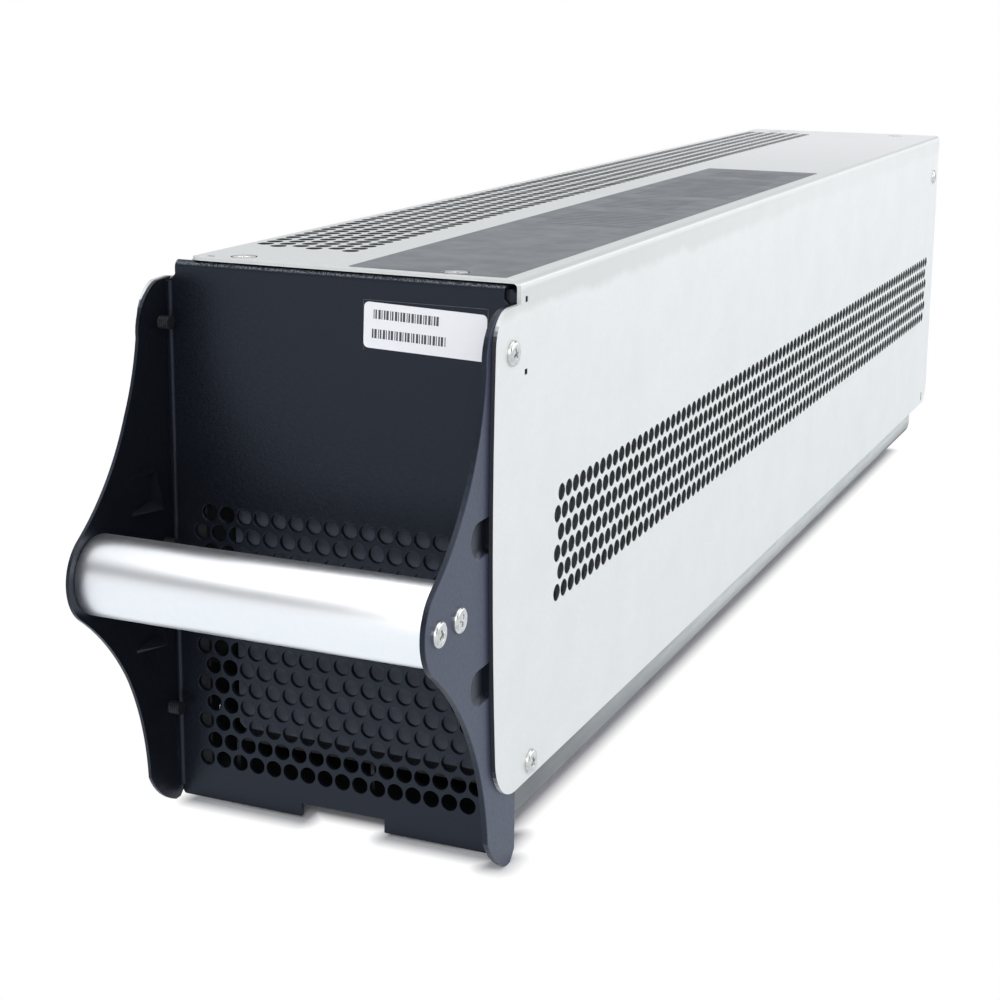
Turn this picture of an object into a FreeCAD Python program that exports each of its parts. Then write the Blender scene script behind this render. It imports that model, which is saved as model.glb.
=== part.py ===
"""UPS battery cartridge: a long sheet-steel box of sealed blocks behind a black perforated
front plate, with two S-shaped side flanges that carry an aluminium grab handle.

Frame: millimetres, +Z up, front towards -Y, length along Y, width along X.
Origin: middle of the footprint, on the plane that the front feet stand on.
"""
import os
from math import cos, pi, radians, sin

import FreeCAD
import Part
from FreeCAD import Vector as V

# ---------------------------------------------------------------- driving sizes
# body
COVER_T = 1.2             # galvanised cover sheet
COVER_BEND = 2.4          # outer radius of the top bends
SKIRT = 14.0              # tray wall left showing below the cover
TRAY_T = 1.2
TRAY_BEND = 8.0           # outer radius of the tray's bottom bends
TRAY_WALL = 34.0          # tray wall height
HOOD = 35.0               # cover overhang behind the rear panel
FIT = 0.2                 # clearance between nested sheets

# black front
PLATE_T = 1.6
FOOT = 8.0                # feet reach this far below the tray
PLATE_RISE = 1.0          # bottom edge of the plate above the feet
LIP_GAP = 0.3             # plate lip below the cover sheet
LIP_LEN = 13.0
LIP_BEND = 2.2            # outer radius of the lip bend
CORNER_RELIEF = 2.0       # plate set in from the fold above the flanges
NOTCH_W = 27.6
NOTCH_D = 4.1
NOTCH_X = 1.4             # middle of the notch
NOTCH_LIP = 2.6           # tongue folded back above the notch
STEP_OUT = 6.0            # left wall of the cover to the left flange's inner face

# front perforation
HOLE_D = 4.9
HOLE_PITCH = 5.8
HOLE_ROW = 5.95
HOLE_COLS = 16
HOLE_ROWS = 14
HOLE_TOP = 91.8           # height of the top row

# flanges
FLANGE_DROP = 6.6         # top of the flanges below the top of the cover
FLANGE_BACK = 2.6         # rear edge of the flanges behind the plate's front face
NOSE_REACH = 19.2         # flange edge in front of the plate, above the handle
NOSE_R = 12.0
NOSE_DROP = 15.0          # nose round ends this far below the flange's top
EYE_R = 14.0              # lobe round the handle
EYE_UP = 58.0             # lobe's upper end, degrees above straight forward
EYE_LOW = 52.0            # lobe's lower end, degrees below it
FOOT_REACH = 16.2
FOOT_H = 12.0             # foot round starts at this height
FOOT_TIP = 3.0            # and ends this far in front of the plate
FOOT_R = 26.0
SWEEP_UP_R = 72.0         # hollow sweep above the lobe
SWEEP_LOW_R = 86.0        # hollow sweep below it
FOLD_R = 0.8              # inside radius where plate and flanges meet
LANCE_FRONT = 29.0        # lanced ramps: front end before the plate
LANCE_REAR = 16.6
LANCE_Z = (101.6, 60.3)
LANCE_H = 10.0
LANCE_IN = 1.4            # how far the ramp's deep end is pushed in
LANCE_RIM = 0.8

# handle
HANDLE_D = 23.0
HANDLE_WALL = 2.0
HANDLE_REACH = 42.6       # tube axis in front of the plate
HANDLE_Z = 83.6
PLUG_LEN = 14.0
HANDLE_SCREW_STEP = 12.5

# ears of the cover that lie on the flanges
EAR_REACH = 17.6          # front edge, at the middle of its slight bow
EAR_BOW_Z = 108.0
EAR_BOW_R = 900.0
EAR_TOP_CUT = 9.0         # size of the rounded upper corner
EAR_LOW_CUT = 13.0        # size of the rounded lower corner

# fasteners
SIDES = 10                # flats on screws and on their holes
SCREW_D = 4.0
HEAD_D = 7.8
HEAD_H = 2.3
SCREW_LEN = 8.0
WALL_SCREW_LEN = 3.0      # short screws beside and above the blocks
TOP_SCREW_LEN = 3.4
CSK_D = 6.9
HOLE_SLACK = 0.1          # clearance hole over screw, on the radius
EAR_SCREW_DROP = 12.4     # below the top of the flanges
EAR_SCREW_Y = 5.6         # in front of the plate
LEFT_SCREW_Z = (82.3, 31.1)
TRAY_SCREW_Y = 10.3
TRAY_SCREW_Z = 27.0
TOP_SCREW_X = (-32.0, 35.2)
TOP_SCREW_Y = 5.6
REAR_SCREW_IN = 13.0      # from the rear edge of the cover
REAR_SCREW_DROP = 21.0    # below the top of the cover

# sealed blocks: two layers of five
BLOCK_W = 90.0
BLOCK_H = 70.0
BLOCK_L = 101.5
BLOCK_SPACE = 4.5         # between one block and the next along the body
BLOCK_COLS = 5
BLOCK_GAP = 0.6           # between the layers
BLOCK_FRONT = 5.0         # first face behind the front plate
BLOCK_SIDE = 0.6          # from the tray's right wall
CHANNEL_W = 9.2           # wiring space between the blocks and the tray's left wall
WIRE_SPACE = 19.5         # from the last block to the rear panel
LID_L = 12.0
CASE_EDGE = 1.5           # bevel along the long edges of a case
WELL_RIM = 4.0            # rim left beside the tabs' well
WELL_W = 15.0
WELL_D = 2.0
TAB_W = 6.3
TAB_T = 0.8
TAB_L = 3.6
TAB_IN = 12.0             # tab's middle from the block's lower and upper faces
LINK_T = 1.5
LINK_W = 9.0

SHELF_T = 1.2
SHELF_Z = 11.6            # top of the shelf above the tray floor
FOAM_T = 3.0
FOAM_TOP_T = 2.4          # between the upper blocks and the cover
FOAM_IN = 8.0             # foam edges in from the edges of what they pad

# rear connector
PLUG_W = 52.0
PLUG_H = 26.0
PLUG_D = 24.0
PLUG_Z = 84.0
SOCKET = 15.0
SOCKET_STEP = 23.0
SOCKET_DEPTH = 18.0
CONTACT_T = 3.0
CONTACT_H = 10.0
CONTACT_SET = 4.0         # contact tip inside the mouth of its socket
CONTACT_TAIL = 6.0        # tail in front of the rear panel
CARRIER_W = 72.0
CARRIER_H = 34.0
CARRIER_T = 3.0

# ---------------------------------------------------------------- derived places
BLOCK_STEP = BLOCK_L + BLOCK_SPACE
BODY_LEN = BLOCK_FRONT + BLOCK_COLS * BLOCK_STEP - BLOCK_SPACE + WIRE_SPACE + HOOD
BODY_H = TRAY_T + SHELF_Z + FOAM_T + 2 * BLOCK_H + BLOCK_GAP + FOAM_TOP_T + COVER_T
COVER_W = BLOCK_W + BLOCK_SIDE + CHANNEL_W + 2 * (COVER_T + FIT + TRAY_T)
BRACKET_W = COVER_W + STEP_OUT - PLATE_T - HOLE_SLACK - COVER_T
EYE_FRONT = HANDLE_REACH + EYE_R
Y0 = -(BODY_LEN - EYE_FRONT) / 2.0           # front face of the plate
Y1 = Y0 + BODY_LEN                           # rear edge of the cover
Z_TRAY = FOOT                                # underside of the tray
Z_TOP = FOOT + BODY_H
FLANGE_TOP = Z_TOP - FLANGE_DROP
EAR_SCREW_Z = FLANGE_TOP - EAR_SCREW_DROP
REAR_SCREW_Z = Z_TOP - REAR_SCREW_DROP
FOLD = BRACKET_W / 2.0                       # inner face of either flange
FLANGE_OUT = FOLD + PLATE_T
EAR_IN = FLANGE_OUT + HOLE_SLACK
EAR_OUT = EAR_IN + COVER_T
XR = EAR_OUT                                 # outer face, right cover wall
XL = XR - COVER_W                            # outer face, left cover wall
Z_SKIRT = Z_TRAY + SKIRT                     # bottom edge of the cover
TRAY_R = XR - COVER_T - FIT
TRAY_L = XL + COVER_T + FIT
Z_FLOOR = Z_TRAY + TRAY_T
Y_PLATE_BACK = Y0 + PLATE_T
Y_FLANGE_BACK = Y0 + FLANGE_BACK
Y_TRAY = Y_FLANGE_BACK + FIT                 # front edge of the tray
Y_PANEL = Y1 - HOOD                          # front face of the rear panel
Z_LIP = Z_TOP - COVER_T - LIP_GAP
HANDLE_Y = Y0 - HANDLE_REACH
Z_SHELF = Z_FLOOR + SHELF_Z
Z_BLOCK = Z_SHELF + FOAM_T
BLOCK_X1 = TRAY_R - TRAY_T - BLOCK_SIDE
BLOCK_X0 = BLOCK_X1 - BLOCK_W
BLOCK_Y0 = Y0 + BLOCK_FRONT
Z_BLOCK2 = Z_BLOCK + BLOCK_H + BLOCK_GAP

NODES = {}


# ---------------------------------------------------------------- helpers
def box(x0, x1, y0, y1, z0, z1):
    return Part.makeBox(x1 - x0, y1 - y0, z1 - z0, V(x0, y0, z0))


def rod(r, start, end):
    d = end - start
    return Part.makeCylinder(r, d.Length, start, d)


def round_edges(shape, r, test):
    edges = [e for e in shape.Edges if test(e)]
    return shape.makeFillet(r, edges) if edges and r > 0 else shape


def bevel_edges(shape, size, test):
    edges = [e for e in shape.Edges if test(e)]
    return shape.makeChamfer(size, edges) if edges and size > 0 else shape


def along_y(e):
    a, b = e.Vertexes[0].Point, e.Vertexes[-1].Point
    return abs(a.x - b.x) < 1e-6 and abs(a.z - b.z) < 1e-6 and abs(a.y - b.y) > 1e-3


def along_x(e):
    a, b = e.Vertexes[0].Point, e.Vertexes[-1].Point
    return abs(a.y - b.y) < 1e-6 and abs(a.z - b.z) < 1e-6 and abs(a.x - b.x) > 1e-3


def along_z(e):
    a, b = e.Vertexes[0].Point, e.Vertexes[-1].Point
    return abs(a.y - b.y) < 1e-6 and abs(a.x - b.x) < 1e-6 and abs(a.z - b.z) > 1e-3


def mid(e):
    return (e.Vertexes[0].Point + e.Vertexes[-1].Point) * 0.5


def group(shapes):
    return Part.makeCompound(shapes)


def keep(name, shape):
    NODES[name] = shape


def bulge_arc(p, q, r, towards):
    """Arc of radius r from p to q in a plane of constant x, its middle lying towards a point."""
    m = (p + q) * 0.5
    chord = q - p
    n = V(0, -chord.z, chord.y).normalize()
    if n.dot(towards - m) < 0:
        n = n * -1
    rise = r - (r * r - chord.Length ** 2 / 4.0) ** 0.5
    return Part.Arc(p, m + n * rise, q).toShape()


def line(p, q):
    return Part.LineSegment(p, q).toShape()


# ---------------------------------------------------------------- black front sheet
def flange_face(x):
    """Side view of a flange: nose, hollow sweep, lobe round the handle, sweep, foot."""
    def at(reach, z):
        return V(x, Y0 - reach, z)

    def on_eye(deg):
        return at(HANDLE_REACH + EYE_R * cos(radians(deg)), HANDLE_Z + EYE_R * sin(radians(deg)))

    back = Y_FLANGE_BACK
    nose_a = at(NOSE_REACH - NOSE_R, FLANGE_TOP)
    nose_b = at(NOSE_REACH, FLANGE_TOP - NOSE_DROP)
    nose_m = at(NOSE_REACH - NOSE_R * 0.27, FLANGE_TOP - NOSE_DROP * 0.27)
    up_end = on_eye(EYE_UP)
    low_start = on_eye(-EYE_LOW)
    foot_a = at(FOOT_REACH, FOOT_H)
    foot_b = at(FOOT_TIP, 0.0)
    behind_top, behind_low = at(0.0, FLANGE_TOP / 2.0), at(0.0, HANDLE_Z / 3.0)
    edges = [
        line(V(x, back, FOOT_TIP), V(x, back, FLANGE_TOP)),
        line(V(x, back, FLANGE_TOP), nose_a),
        Part.Arc(nose_a, nose_m, nose_b).toShape(),
        bulge_arc(nose_b, up_end, SWEEP_UP_R, behind_top),
        Part.Arc(up_end, on_eye(0.0), low_start).toShape(),
        bulge_arc(low_start, foot_a, SWEEP_LOW_R, behind_low),
        bulge_arc(foot_a, foot_b, FOOT_R, at(FOOT_REACH, 0.0)),
        line(foot_b, V(x, back - FOOT_TIP, 0)),
        line(V(x, back - FOOT_TIP, 0), V(x, back, FOOT_TIP)),
    ]
    return Part.Face(Part.Wire(edges))


def ramp(x_face, side, front, rear, h, zc, lift):
    """Wedge on the inner side of x_face: no depth at its front end, LANCE_IN at its rear."""
    pts = [V(x_face + side * lift, Y0 - front, zc - h / 2.0),
           V(x_face, Y0 - front, zc - h / 2.0),
           V(x_face - side * LANCE_IN, Y0 - rear, zc - h / 2.0),
           V(x_face + side * lift, Y0 - rear, zc - h / 2.0)]
    return Part.Face(Part.makePolygon(pts + [pts[0]])).extrude(V(0, 0, h))


def flange(side):
    """One flange with its two ramps pushed inward and its screw holes."""
    x = FOLD if side > 0 else -FLANGE_OUT
    body = flange_face(x).extrude(V(PLATE_T, 0, 0))
    for zc in LANCE_Z:
        bump = ramp(side * FOLD, side, LANCE_FRONT, LANCE_REAR - LANCE_RIM,
                    LANCE_H + 2 * LANCE_RIM, zc, PLATE_T / 2.0)
        pocket = ramp(side * FLANGE_OUT, side, LANCE_FRONT, LANCE_REAR, LANCE_H, zc, PLATE_T)
        body = body.fuse(bump).cut(pocket)
    return drill(body, [(V(side * (FOLD - PLATE_T), y, z), V(side * (FLANGE_OUT + PLATE_T), y, z))
                        for y, z in handle_screw_spots() + ear_screw_spots(side)])


def handle_screw_spots():
    return [(HANDLE_Y - HANDLE_SCREW_STEP / 2.0, HANDLE_Z),
            (HANDLE_Y + HANDLE_SCREW_STEP / 2.0, HANDLE_Z)]


def ear_screw_spots(side):
    spots = [(Y0 - EAR_SCREW_Y, EAR_SCREW_Z)]
    if side < 0:
        spots += [(Y0 - EAR_SCREW_Y, z) for z in LEFT_SCREW_Z]
    return spots


def drill(shape, runs):
    """Clearance holes for screws, each along a run from one point to another."""
    for a, b in runs:
        shape = shape.cut(prism(SCREW_D / 2.0 + HOLE_SLACK, SCREW_D / 2.0 + HOLE_SLACK, a, b))
    return shape


def front_plate():
    """One folded sheet: perforated plate with a rolled top lip, and a flange on either side."""
    x_top = FOLD - CORNER_RELIEF
    top = box(-x_top, x_top, Y0, Y_PLATE_BACK, FLANGE_TOP - PLATE_T, Z_LIP)
    lip = box(XL + COVER_BEND, x_top, Y0, Y0 + LIP_LEN, Z_LIP - PLATE_T, Z_LIP)
    top = round_edges(top.fuse(lip).removeSplitter(), LIP_BEND,
                      lambda e: along_x(e) and abs(mid(e).y - Y0) < 1e-6
                      and abs(mid(e).z - Z_LIP) < 1e-6)
    plate = box(-FOLD, FOLD, Y0, Y_PLATE_BACK, PLATE_RISE, FLANGE_TOP).fuse(top)
    z_notch = PLATE_RISE + NOTCH_D
    n0, n1 = NOTCH_X - NOTCH_W / 2.0, NOTCH_X + NOTCH_W / 2.0
    plate = plate.cut(box(n0, n1, Y0 - PLATE_T, Y_PLATE_BACK + PLATE_T, 0, z_notch))
    plate = plate.fuse(box(n0, n1, Y0, Y0 + NOTCH_LIP, z_notch, z_notch + PLATE_T))
    # staggered perforation
    span = (HOLE_COLS - 0.5) * HOLE_PITCH
    holes = []
    for row in range(HOLE_ROWS):
        start = -span / 2.0 + (0.0 if row % 2 else HOLE_PITCH / 2.0)
        z = HOLE_TOP - row * HOLE_ROW
        holes += [punch(start + col * HOLE_PITCH, z) for col in range(HOLE_COLS)]
    plate = plate.cut(group(holes))
    plate = drill(plate, [(V(x, Y0 + TOP_SCREW_Y, Z_LIP - LIP_LEN), V(x, Y0 + TOP_SCREW_Y, Z_TOP))
                          for x in TOP_SCREW_X])
    sheet = plate.fuse([flange(-1), flange(1)]).removeSplitter()
    return round_edges(sheet, FOLD_R, lambda e: along_z(e) and abs(mid(e).y - Y0) < 1e-6
                       and abs(abs(mid(e).x) - FOLD) < 1e-6 and e.Length > FLANGE_TOP / 2.0)


def punch(x, z):
    """Six-sided punch through the plate."""
    r = HOLE_D / 2.0 / cos(pi / 12)
    pts = [V(x + r * sin(k * pi / 3), Y0 - PLATE_T, z + r * cos(k * pi / 3)) for k in range(6)]
    return Part.Face(Part.makePolygon(pts + [pts[0]])).extrude(V(0, 3 * PLATE_T, 0))


# ---------------------------------------------------------------- handle
def handle_tube():
    a, b = V(-FOLD, HANDLE_Y, HANDLE_Z), V(FOLD, HANDLE_Y, HANDLE_Z)
    return rod(HANDLE_D / 2.0, a, b).cut(rod(HANDLE_D / 2.0 - HANDLE_WALL, a, b))


def handle_plugs():
    out = []
    r = HANDLE_D / 2.0 - HANDLE_WALL - HOLE_SLACK
    for side in (-1, 1):
        plug = rod(r, V(side * FOLD, HANDLE_Y, HANDLE_Z),
                   V(side * (FOLD - PLUG_LEN), HANDLE_Y, HANDLE_Z))
        plug = drill(plug, [(V(side * (FOLD + 1), y, z), V(side * (FOLD - PLUG_LEN - 1), y, z))
                            for y, z in handle_screw_spots()])
        out.append(plug)
    return group(out)


# ---------------------------------------------------------------- screws
def prism(r0, r1, start, end):
    """Bar or cone frustum with SIDES flats between two points."""
    axis = (end - start).normalize()
    a = V(0, 0, 1).cross(axis) if abs(axis.z) < 0.9 else V(1, 0, 0)
    a = a.normalize()
    b = axis.cross(a)
    rings = []
    for p, r in ((start, r0), (end, r1)):
        turns = [2 * pi * k / SIDES for k in range(SIDES)]
        pts = [p + a * (r * cos(t)) + b * (r * sin(t)) for t in turns]
        rings.append(Part.makePolygon(pts + [pts[0]]))
    return Part.makeLoft(rings, True, True)


def pan_screw(seat, inward, length=SCREW_LEN):
    """Pan-head screw: head on the outer side of seat, shank running inward."""
    out = inward * -1
    crown = HEAD_H * 0.4
    rim = seat + out * (HEAD_H - crown)
    head = prism(HEAD_D / 2.0, HEAD_D / 2.0, seat, rim)
    dome = prism(HEAD_D / 2.0, HEAD_D / 2.0 - crown, rim, seat + out * HEAD_H)
    shank = prism(SCREW_D / 2.0, SCREW_D / 2.0, seat, seat + inward * length)
    return head.fuse([dome, shank]).removeSplitter()


def csk_screw(seat, length):
    """Countersunk screw driven down from the top face."""
    neck = seat - V(0, 0, (CSK_D - SCREW_D) / 2.0)
    cone = prism(CSK_D / 2.0, SCREW_D / 2.0, seat, neck)
    return cone.fuse(prism(SCREW_D / 2.0, SCREW_D / 2.0, neck, seat - V(0, 0, length))
                     ).removeSplitter()


# ---------------------------------------------------------------- cover, tray, rear panel
def ear(x, back):
    """Ear that lies on a flange: bowed front edge and rounded corners."""
    def bow(z):
        return Y0 - EAR_REACH + (z - EAR_BOW_Z) ** 2 / (2.0 * EAR_BOW_R)

    low, top = Z_SKIRT, FLANGE_TOP
    a = V(x, bow(low) + EAR_LOW_CUT, low)
    b = V(x, bow(low + EAR_LOW_CUT), low + EAR_LOW_CUT)
    c = V(x, bow(top - EAR_TOP_CUT), top - EAR_TOP_CUT)
    d = V(x, bow(top) + EAR_TOP_CUT, top)
    edges = [line(V(x, back, low), a),
             bulge_arc(a, b, EAR_LOW_CUT * 1.04, V(x, bow(low), low)),
             Part.Arc(b, V(x, bow(EAR_BOW_Z), EAR_BOW_Z), c).toShape(),
             bulge_arc(c, d, EAR_TOP_CUT * 1.04, V(x, bow(top), top)),
             line(d, V(x, back, top)), line(V(x, back, top), V(x, back, low))]
    return Part.Face(Part.Wire(edges)).extrude(V(COVER_T, 0, 0))


WEB_GAP = 0.3             # left ear's web behind the plate
SLOT_W = 1.2
SLOT_H = 3.2
SLOT_Y = 4.0              # tooling slots behind the plate line
SLOT_DROP = (5.7, 25.7)   # slots below the top of the cover
REAR_CORNER_R = 9.0


def cover():
    """Top sheet with both walls folded down; ears run forward onto the flanges."""
    outer = box(XL, XR, Y0, Y1, Z_SKIRT, Z_TOP)
    outer = round_edges(outer, COVER_BEND, lambda e: along_y(e) and mid(e).z > Z_TOP - 1e-6)
    inner = box(XL + COVER_T, XR - COVER_T, Y0 - 1, Y1 + 1, Z_SKIRT - 1, Z_TOP - COVER_T)
    inner = round_edges(inner, COVER_BEND - COVER_T,
                        lambda e: along_y(e) and mid(e).z > Z_TOP - COVER_T - 1e-6)
    shell = outer.cut(inner)
    # rear lower corners are rounded off
    for x in (XL, XR - COVER_T):
        keepout = box(x - 1, x + COVER_T + 1, Y1 - REAR_CORNER_R, Y1 + 1,
                      Z_SKIRT - 1, Z_SKIRT + REAR_CORNER_R)
        disc = rod(REAR_CORNER_R, V(x - 2, Y1 - REAR_CORNER_R, Z_SKIRT + REAR_CORNER_R),
                   V(x + COVER_T + 2, Y1 - REAR_CORNER_R, Z_SKIRT + REAR_CORNER_R))
        shell = shell.cut(keepout.cut(disc))
    # right ear in line with the wall
    shell = shell.fuse(ear(XR - COVER_T, Y0 + COVER_T))
    # left wall starts behind the plate and steps outward to its ear
    y_web = Y_FLANGE_BACK + WEB_GAP
    shell = shell.cut(box(XL - COVER_T, XL + COVER_T + FIT, Y0 - COVER_T, y_web,
                          Z_SKIRT - COVER_T, Z_LIP + LIP_GAP / 2.0))
    web = box(-EAR_OUT, XL + COVER_T, y_web, y_web + COVER_T, Z_SKIRT, FLANGE_TOP)
    shell = shell.fuse([web, ear(-EAR_OUT, y_web + COVER_T)])
    shell = shell.removeSplitter()
    runs = [(V(side * (EAR_IN - COVER_T), y, z), V(side * (EAR_OUT + COVER_T), y, z))
            for side in (-1, 1) for y, z in ear_screw_spots(side)]
    runs += [(V(x - COVER_T, y, z), V(x + 2 * COVER_T, y, z))
             for x in (XL, XR - COVER_T) for y, z in wall_screw_spots()]
    runs += [(V(x, y, Z_TOP - 2 * COVER_T), V(x, y, Z_TOP + COVER_T)) for x, y in top_screw_spots()]
    shell = drill(shell, runs)
    for x, y in top_screw_spots():
        shell = shell.cut(prism(CSK_D / 2.0 + HOLE_SLACK, SCREW_D / 2.0 + HOLE_SLACK,
                                V(x, y, Z_TOP), V(x, y, Z_TOP - (CSK_D - SCREW_D) / 2.0)))
    for z in [Z_TOP - d for d in SLOT_DROP]:
        shell = shell.cut(box(XR - 2 * COVER_T, XR + COVER_T, Y0 + SLOT_Y - SLOT_W / 2.0,
                              Y0 + SLOT_Y + SLOT_W / 2.0, z - SLOT_H / 2.0, z + SLOT_H / 2.0))
    return shell


def wall_screw_spots():
    return [(Y0 + TRAY_SCREW_Y, TRAY_SCREW_Z), (Y1 - REAR_SCREW_IN, REAR_SCREW_Z)]


def top_screw_spots():
    return [(x, y) for x in TOP_SCREW_X for y in (Y0 + TOP_SCREW_Y, Y1 - REAR_SCREW_IN)]


def tray():
    """Bottom tray, its walls nested inside the cover; it ends at the rear panel."""
    y0, y1 = Y_TRAY, Y_PANEL
    outer = box(TRAY_L, TRAY_R, y0, y1, Z_TRAY, Z_TRAY + TRAY_WALL)
    outer = round_edges(outer, TRAY_BEND, lambda e: along_y(e) and mid(e).z < Z_TRAY + 1e-6)
    inner = box(TRAY_L + TRAY_T, TRAY_R - TRAY_T, y0 - 1, y1 + 1, Z_FLOOR,
                Z_TRAY + TRAY_WALL + 1)
    inner = round_edges(inner, TRAY_BEND - TRAY_T,
                        lambda e: along_y(e) and mid(e).z < Z_FLOOR + 1e-6)
    body = outer.cut(inner)
    y, z = wall_screw_spots()[0]
    return drill(body, [(V(TRAY_L - TRAY_T, y, z), V(TRAY_R + TRAY_T, y, z))])


PANEL_T = 1.2
PANEL_FLANGE = 32.0
PANEL_TAIL = 14.0         # forward foot of the panel on the tray floor
WINDOW_RIM = 3.0          # panel left round the window, inside the connector's outline


def rear_panel():
    """Pan behind the blocks: flanges back under the cover, foot forward on the tray."""
    x0, x1 = TRAY_L + TRAY_T + FIT, TRAY_R - TRAY_T - FIT
    xa, xb = TRAY_L, TRAY_R
    z1 = Z_TOP - COVER_T - FIT
    low = Z_TRAY + TRAY_WALL + FIT
    sheet = box(xa, xb, Y_PANEL, Y_PANEL + PANEL_T, low, z1)
    sheet = sheet.fuse(box(x0, x1, Y_PANEL, Y_PANEL + PANEL_T, Z_FLOOR + TRAY_BEND, low))
    sheet = sheet.fuse(box(xa, xb, Y_PANEL, Y_PANEL + PANEL_FLANGE, z1 - PANEL_T, z1))
    for x in (xa, xb - PANEL_T):
        sheet = sheet.fuse(box(x, x + PANEL_T, Y_PANEL, Y_PANEL + PANEL_FLANGE, low, z1))
    xf0, xf1 = TRAY_L + TRAY_BEND + FIT, TRAY_R - TRAY_BEND - FIT
    sheet = sheet.fuse(box(xf0, xf1, Y_PANEL, Y_PANEL + PANEL_T, Z_FLOOR, Z_FLOOR + TRAY_BEND))
    sheet = sheet.fuse(box(xf0, xf1, Y_PANEL - PANEL_TAIL, Y_PANEL, Z_FLOOR,
                           Z_FLOOR + PANEL_T))
    sheet = round_edges(sheet.removeSplitter(), COVER_BEND - COVER_T / 2.0,
                        lambda e: along_y(e) and abs(mid(e).z - z1) < 1e-6
                        and (abs(mid(e).x - xa) < 1e-6 or abs(mid(e).x - xb) < 1e-6))
    y, z = wall_screw_spots()[1]
    runs = [(V(xa - PANEL_T, y, z), V(xb + PANEL_T, y, z))]
    runs += [(V(x, Y1 - REAR_SCREW_IN, z1 - 2 * PANEL_T), V(x, Y1 - REAR_SCREW_IN, Z_TOP))
             for x in TOP_SCREW_X]
    runs += [(V(x, Y_PANEL - PANEL_T, PLUG_Z), V(x, Y_PANEL + 2 * PANEL_T, PLUG_Z))
             for x in carrier_screw_x()]
    sheet = drill(sheet, runs)
    # window for the connector's contacts
    return sheet.cut(box(PANEL_X - PLUG_W / 2.0 + WINDOW_RIM, PANEL_X + PLUG_W / 2.0 - WINDOW_RIM,
                         Y_PANEL - PANEL_T, Y_PANEL + 2 * PANEL_T,
                         PLUG_Z - PLUG_H / 2.0 + WINDOW_RIM, PLUG_Z + PLUG_H / 2.0 - WINDOW_RIM))


PANEL_X = (TRAY_L + TRAY_R) / 2.0


def carrier_screw_x():
    off = (CARRIER_W + PLUG_W) / 4.0
    return (PANEL_X - off, PANEL_X + off)


# ---------------------------------------------------------------- rear connector
def connector_carrier():
    y = Y_PANEL + PANEL_T
    plate = box(PANEL_X - CARRIER_W / 2.0, PANEL_X + CARRIER_W / 2.0, y, y + CARRIER_T,
                PLUG_Z - CARRIER_H / 2.0, PLUG_Z + CARRIER_H / 2.0)
    plate = bevel_edges(plate, CARRIER_T, along_y)
    plate = drill(plate, [(V(x, y - 1, PLUG_Z), V(x, y + CARRIER_T + 1, PLUG_Z))
                          for x in carrier_screw_x()])
    return plate.cut(group(contacts(HOLE_SLACK)))


def socket_x():
    return (PANEL_X - SOCKET_STEP / 2.0, PANEL_X + SOCKET_STEP / 2.0)


def contacts(slack=0.0):
    """Contact bars, from their tails in front of the panel to near the socket mouths."""
    y0 = Y_PANEL - CONTACT_TAIL
    y1 = Y_PANEL + PANEL_T + CARRIER_T + PLUG_D - CONTACT_SET
    return [box(x - SOCKET / 2.0, x - SOCKET / 2.0 + CONTACT_T + slack, y0, y1,
                PLUG_Z - CONTACT_H / 2.0 - slack, PLUG_Z + CONTACT_H / 2.0 + slack)
            for x in socket_x()]


def connector_housing():
    y = Y_PANEL + PANEL_T + CARRIER_T
    body = box(PANEL_X - PLUG_W / 2.0, PANEL_X + PLUG_W / 2.0, y, y + PLUG_D,
               PLUG_Z - PLUG_H / 2.0, PLUG_Z + PLUG_H / 2.0)
    body = bevel_edges(body, SOCKET / 6.0, along_y)
    for x in socket_x():
        body = body.cut(box(x - SOCKET / 2.0, x + SOCKET / 2.0, y + PLUG_D - SOCKET_DEPTH,
                            y + PLUG_D + 1, PLUG_Z - SOCKET / 2.0, PLUG_Z + SOCKET / 2.0))
    return body.cut(group(contacts(HOLE_SLACK)))


def connector_screws():
    y = Y_PANEL + PANEL_T + CARRIER_T
    return group([pan_screw(V(x, y, PLUG_Z), V(0, -1, 0)) for x in carrier_screw_x()])


# ---------------------------------------------------------------- blocks and wiring
def block_spots():
    for col in range(BLOCK_COLS):
        for z in (Z_BLOCK, Z_BLOCK2):
            yield BLOCK_Y0 + col * BLOCK_STEP, z


def battery_cases():
    out = []
    for y, z in block_spots():
        b = box(BLOCK_X0, BLOCK_X1, y, y + BLOCK_L - LID_L, z, z + BLOCK_H)
        out.append(bevel_edges(b, CASE_EDGE, along_y))
    return group(out)


def battery_lids():
    out = []
    for y, z in block_spots():
        y0 = y + BLOCK_L - LID_L
        b = box(BLOCK_X0, BLOCK_X1, y0, y0 + LID_L, z, z + BLOCK_H)
        b = bevel_edges(b, CASE_EDGE, along_y)
        well = box(BLOCK_X0 + WELL_RIM, BLOCK_X0 + WELL_RIM + WELL_W, y0 + LID_L - WELL_D,
                   y0 + LID_L + WELL_D, z + WELL_RIM, z + BLOCK_H - WELL_RIM)
        out.append(b.cut(well))
    return group(out)


def tab_x():
    return BLOCK_X0 + WELL_RIM + WELL_W / 2.0


def tab_z(z):
    return (z + TAB_IN, z + BLOCK_H - TAB_IN)


def battery_tabs():
    out = []
    for y, z in block_spots():
        y0 = y + BLOCK_L - WELL_D
        for zt in tab_z(z):
            out.append(box(tab_x() - TAB_T / 2.0, tab_x() + TAB_T / 2.0, y0, y0 + TAB_L,
                           zt - TAB_W / 2.0, zt + TAB_W / 2.0))
    return group(out)


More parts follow.
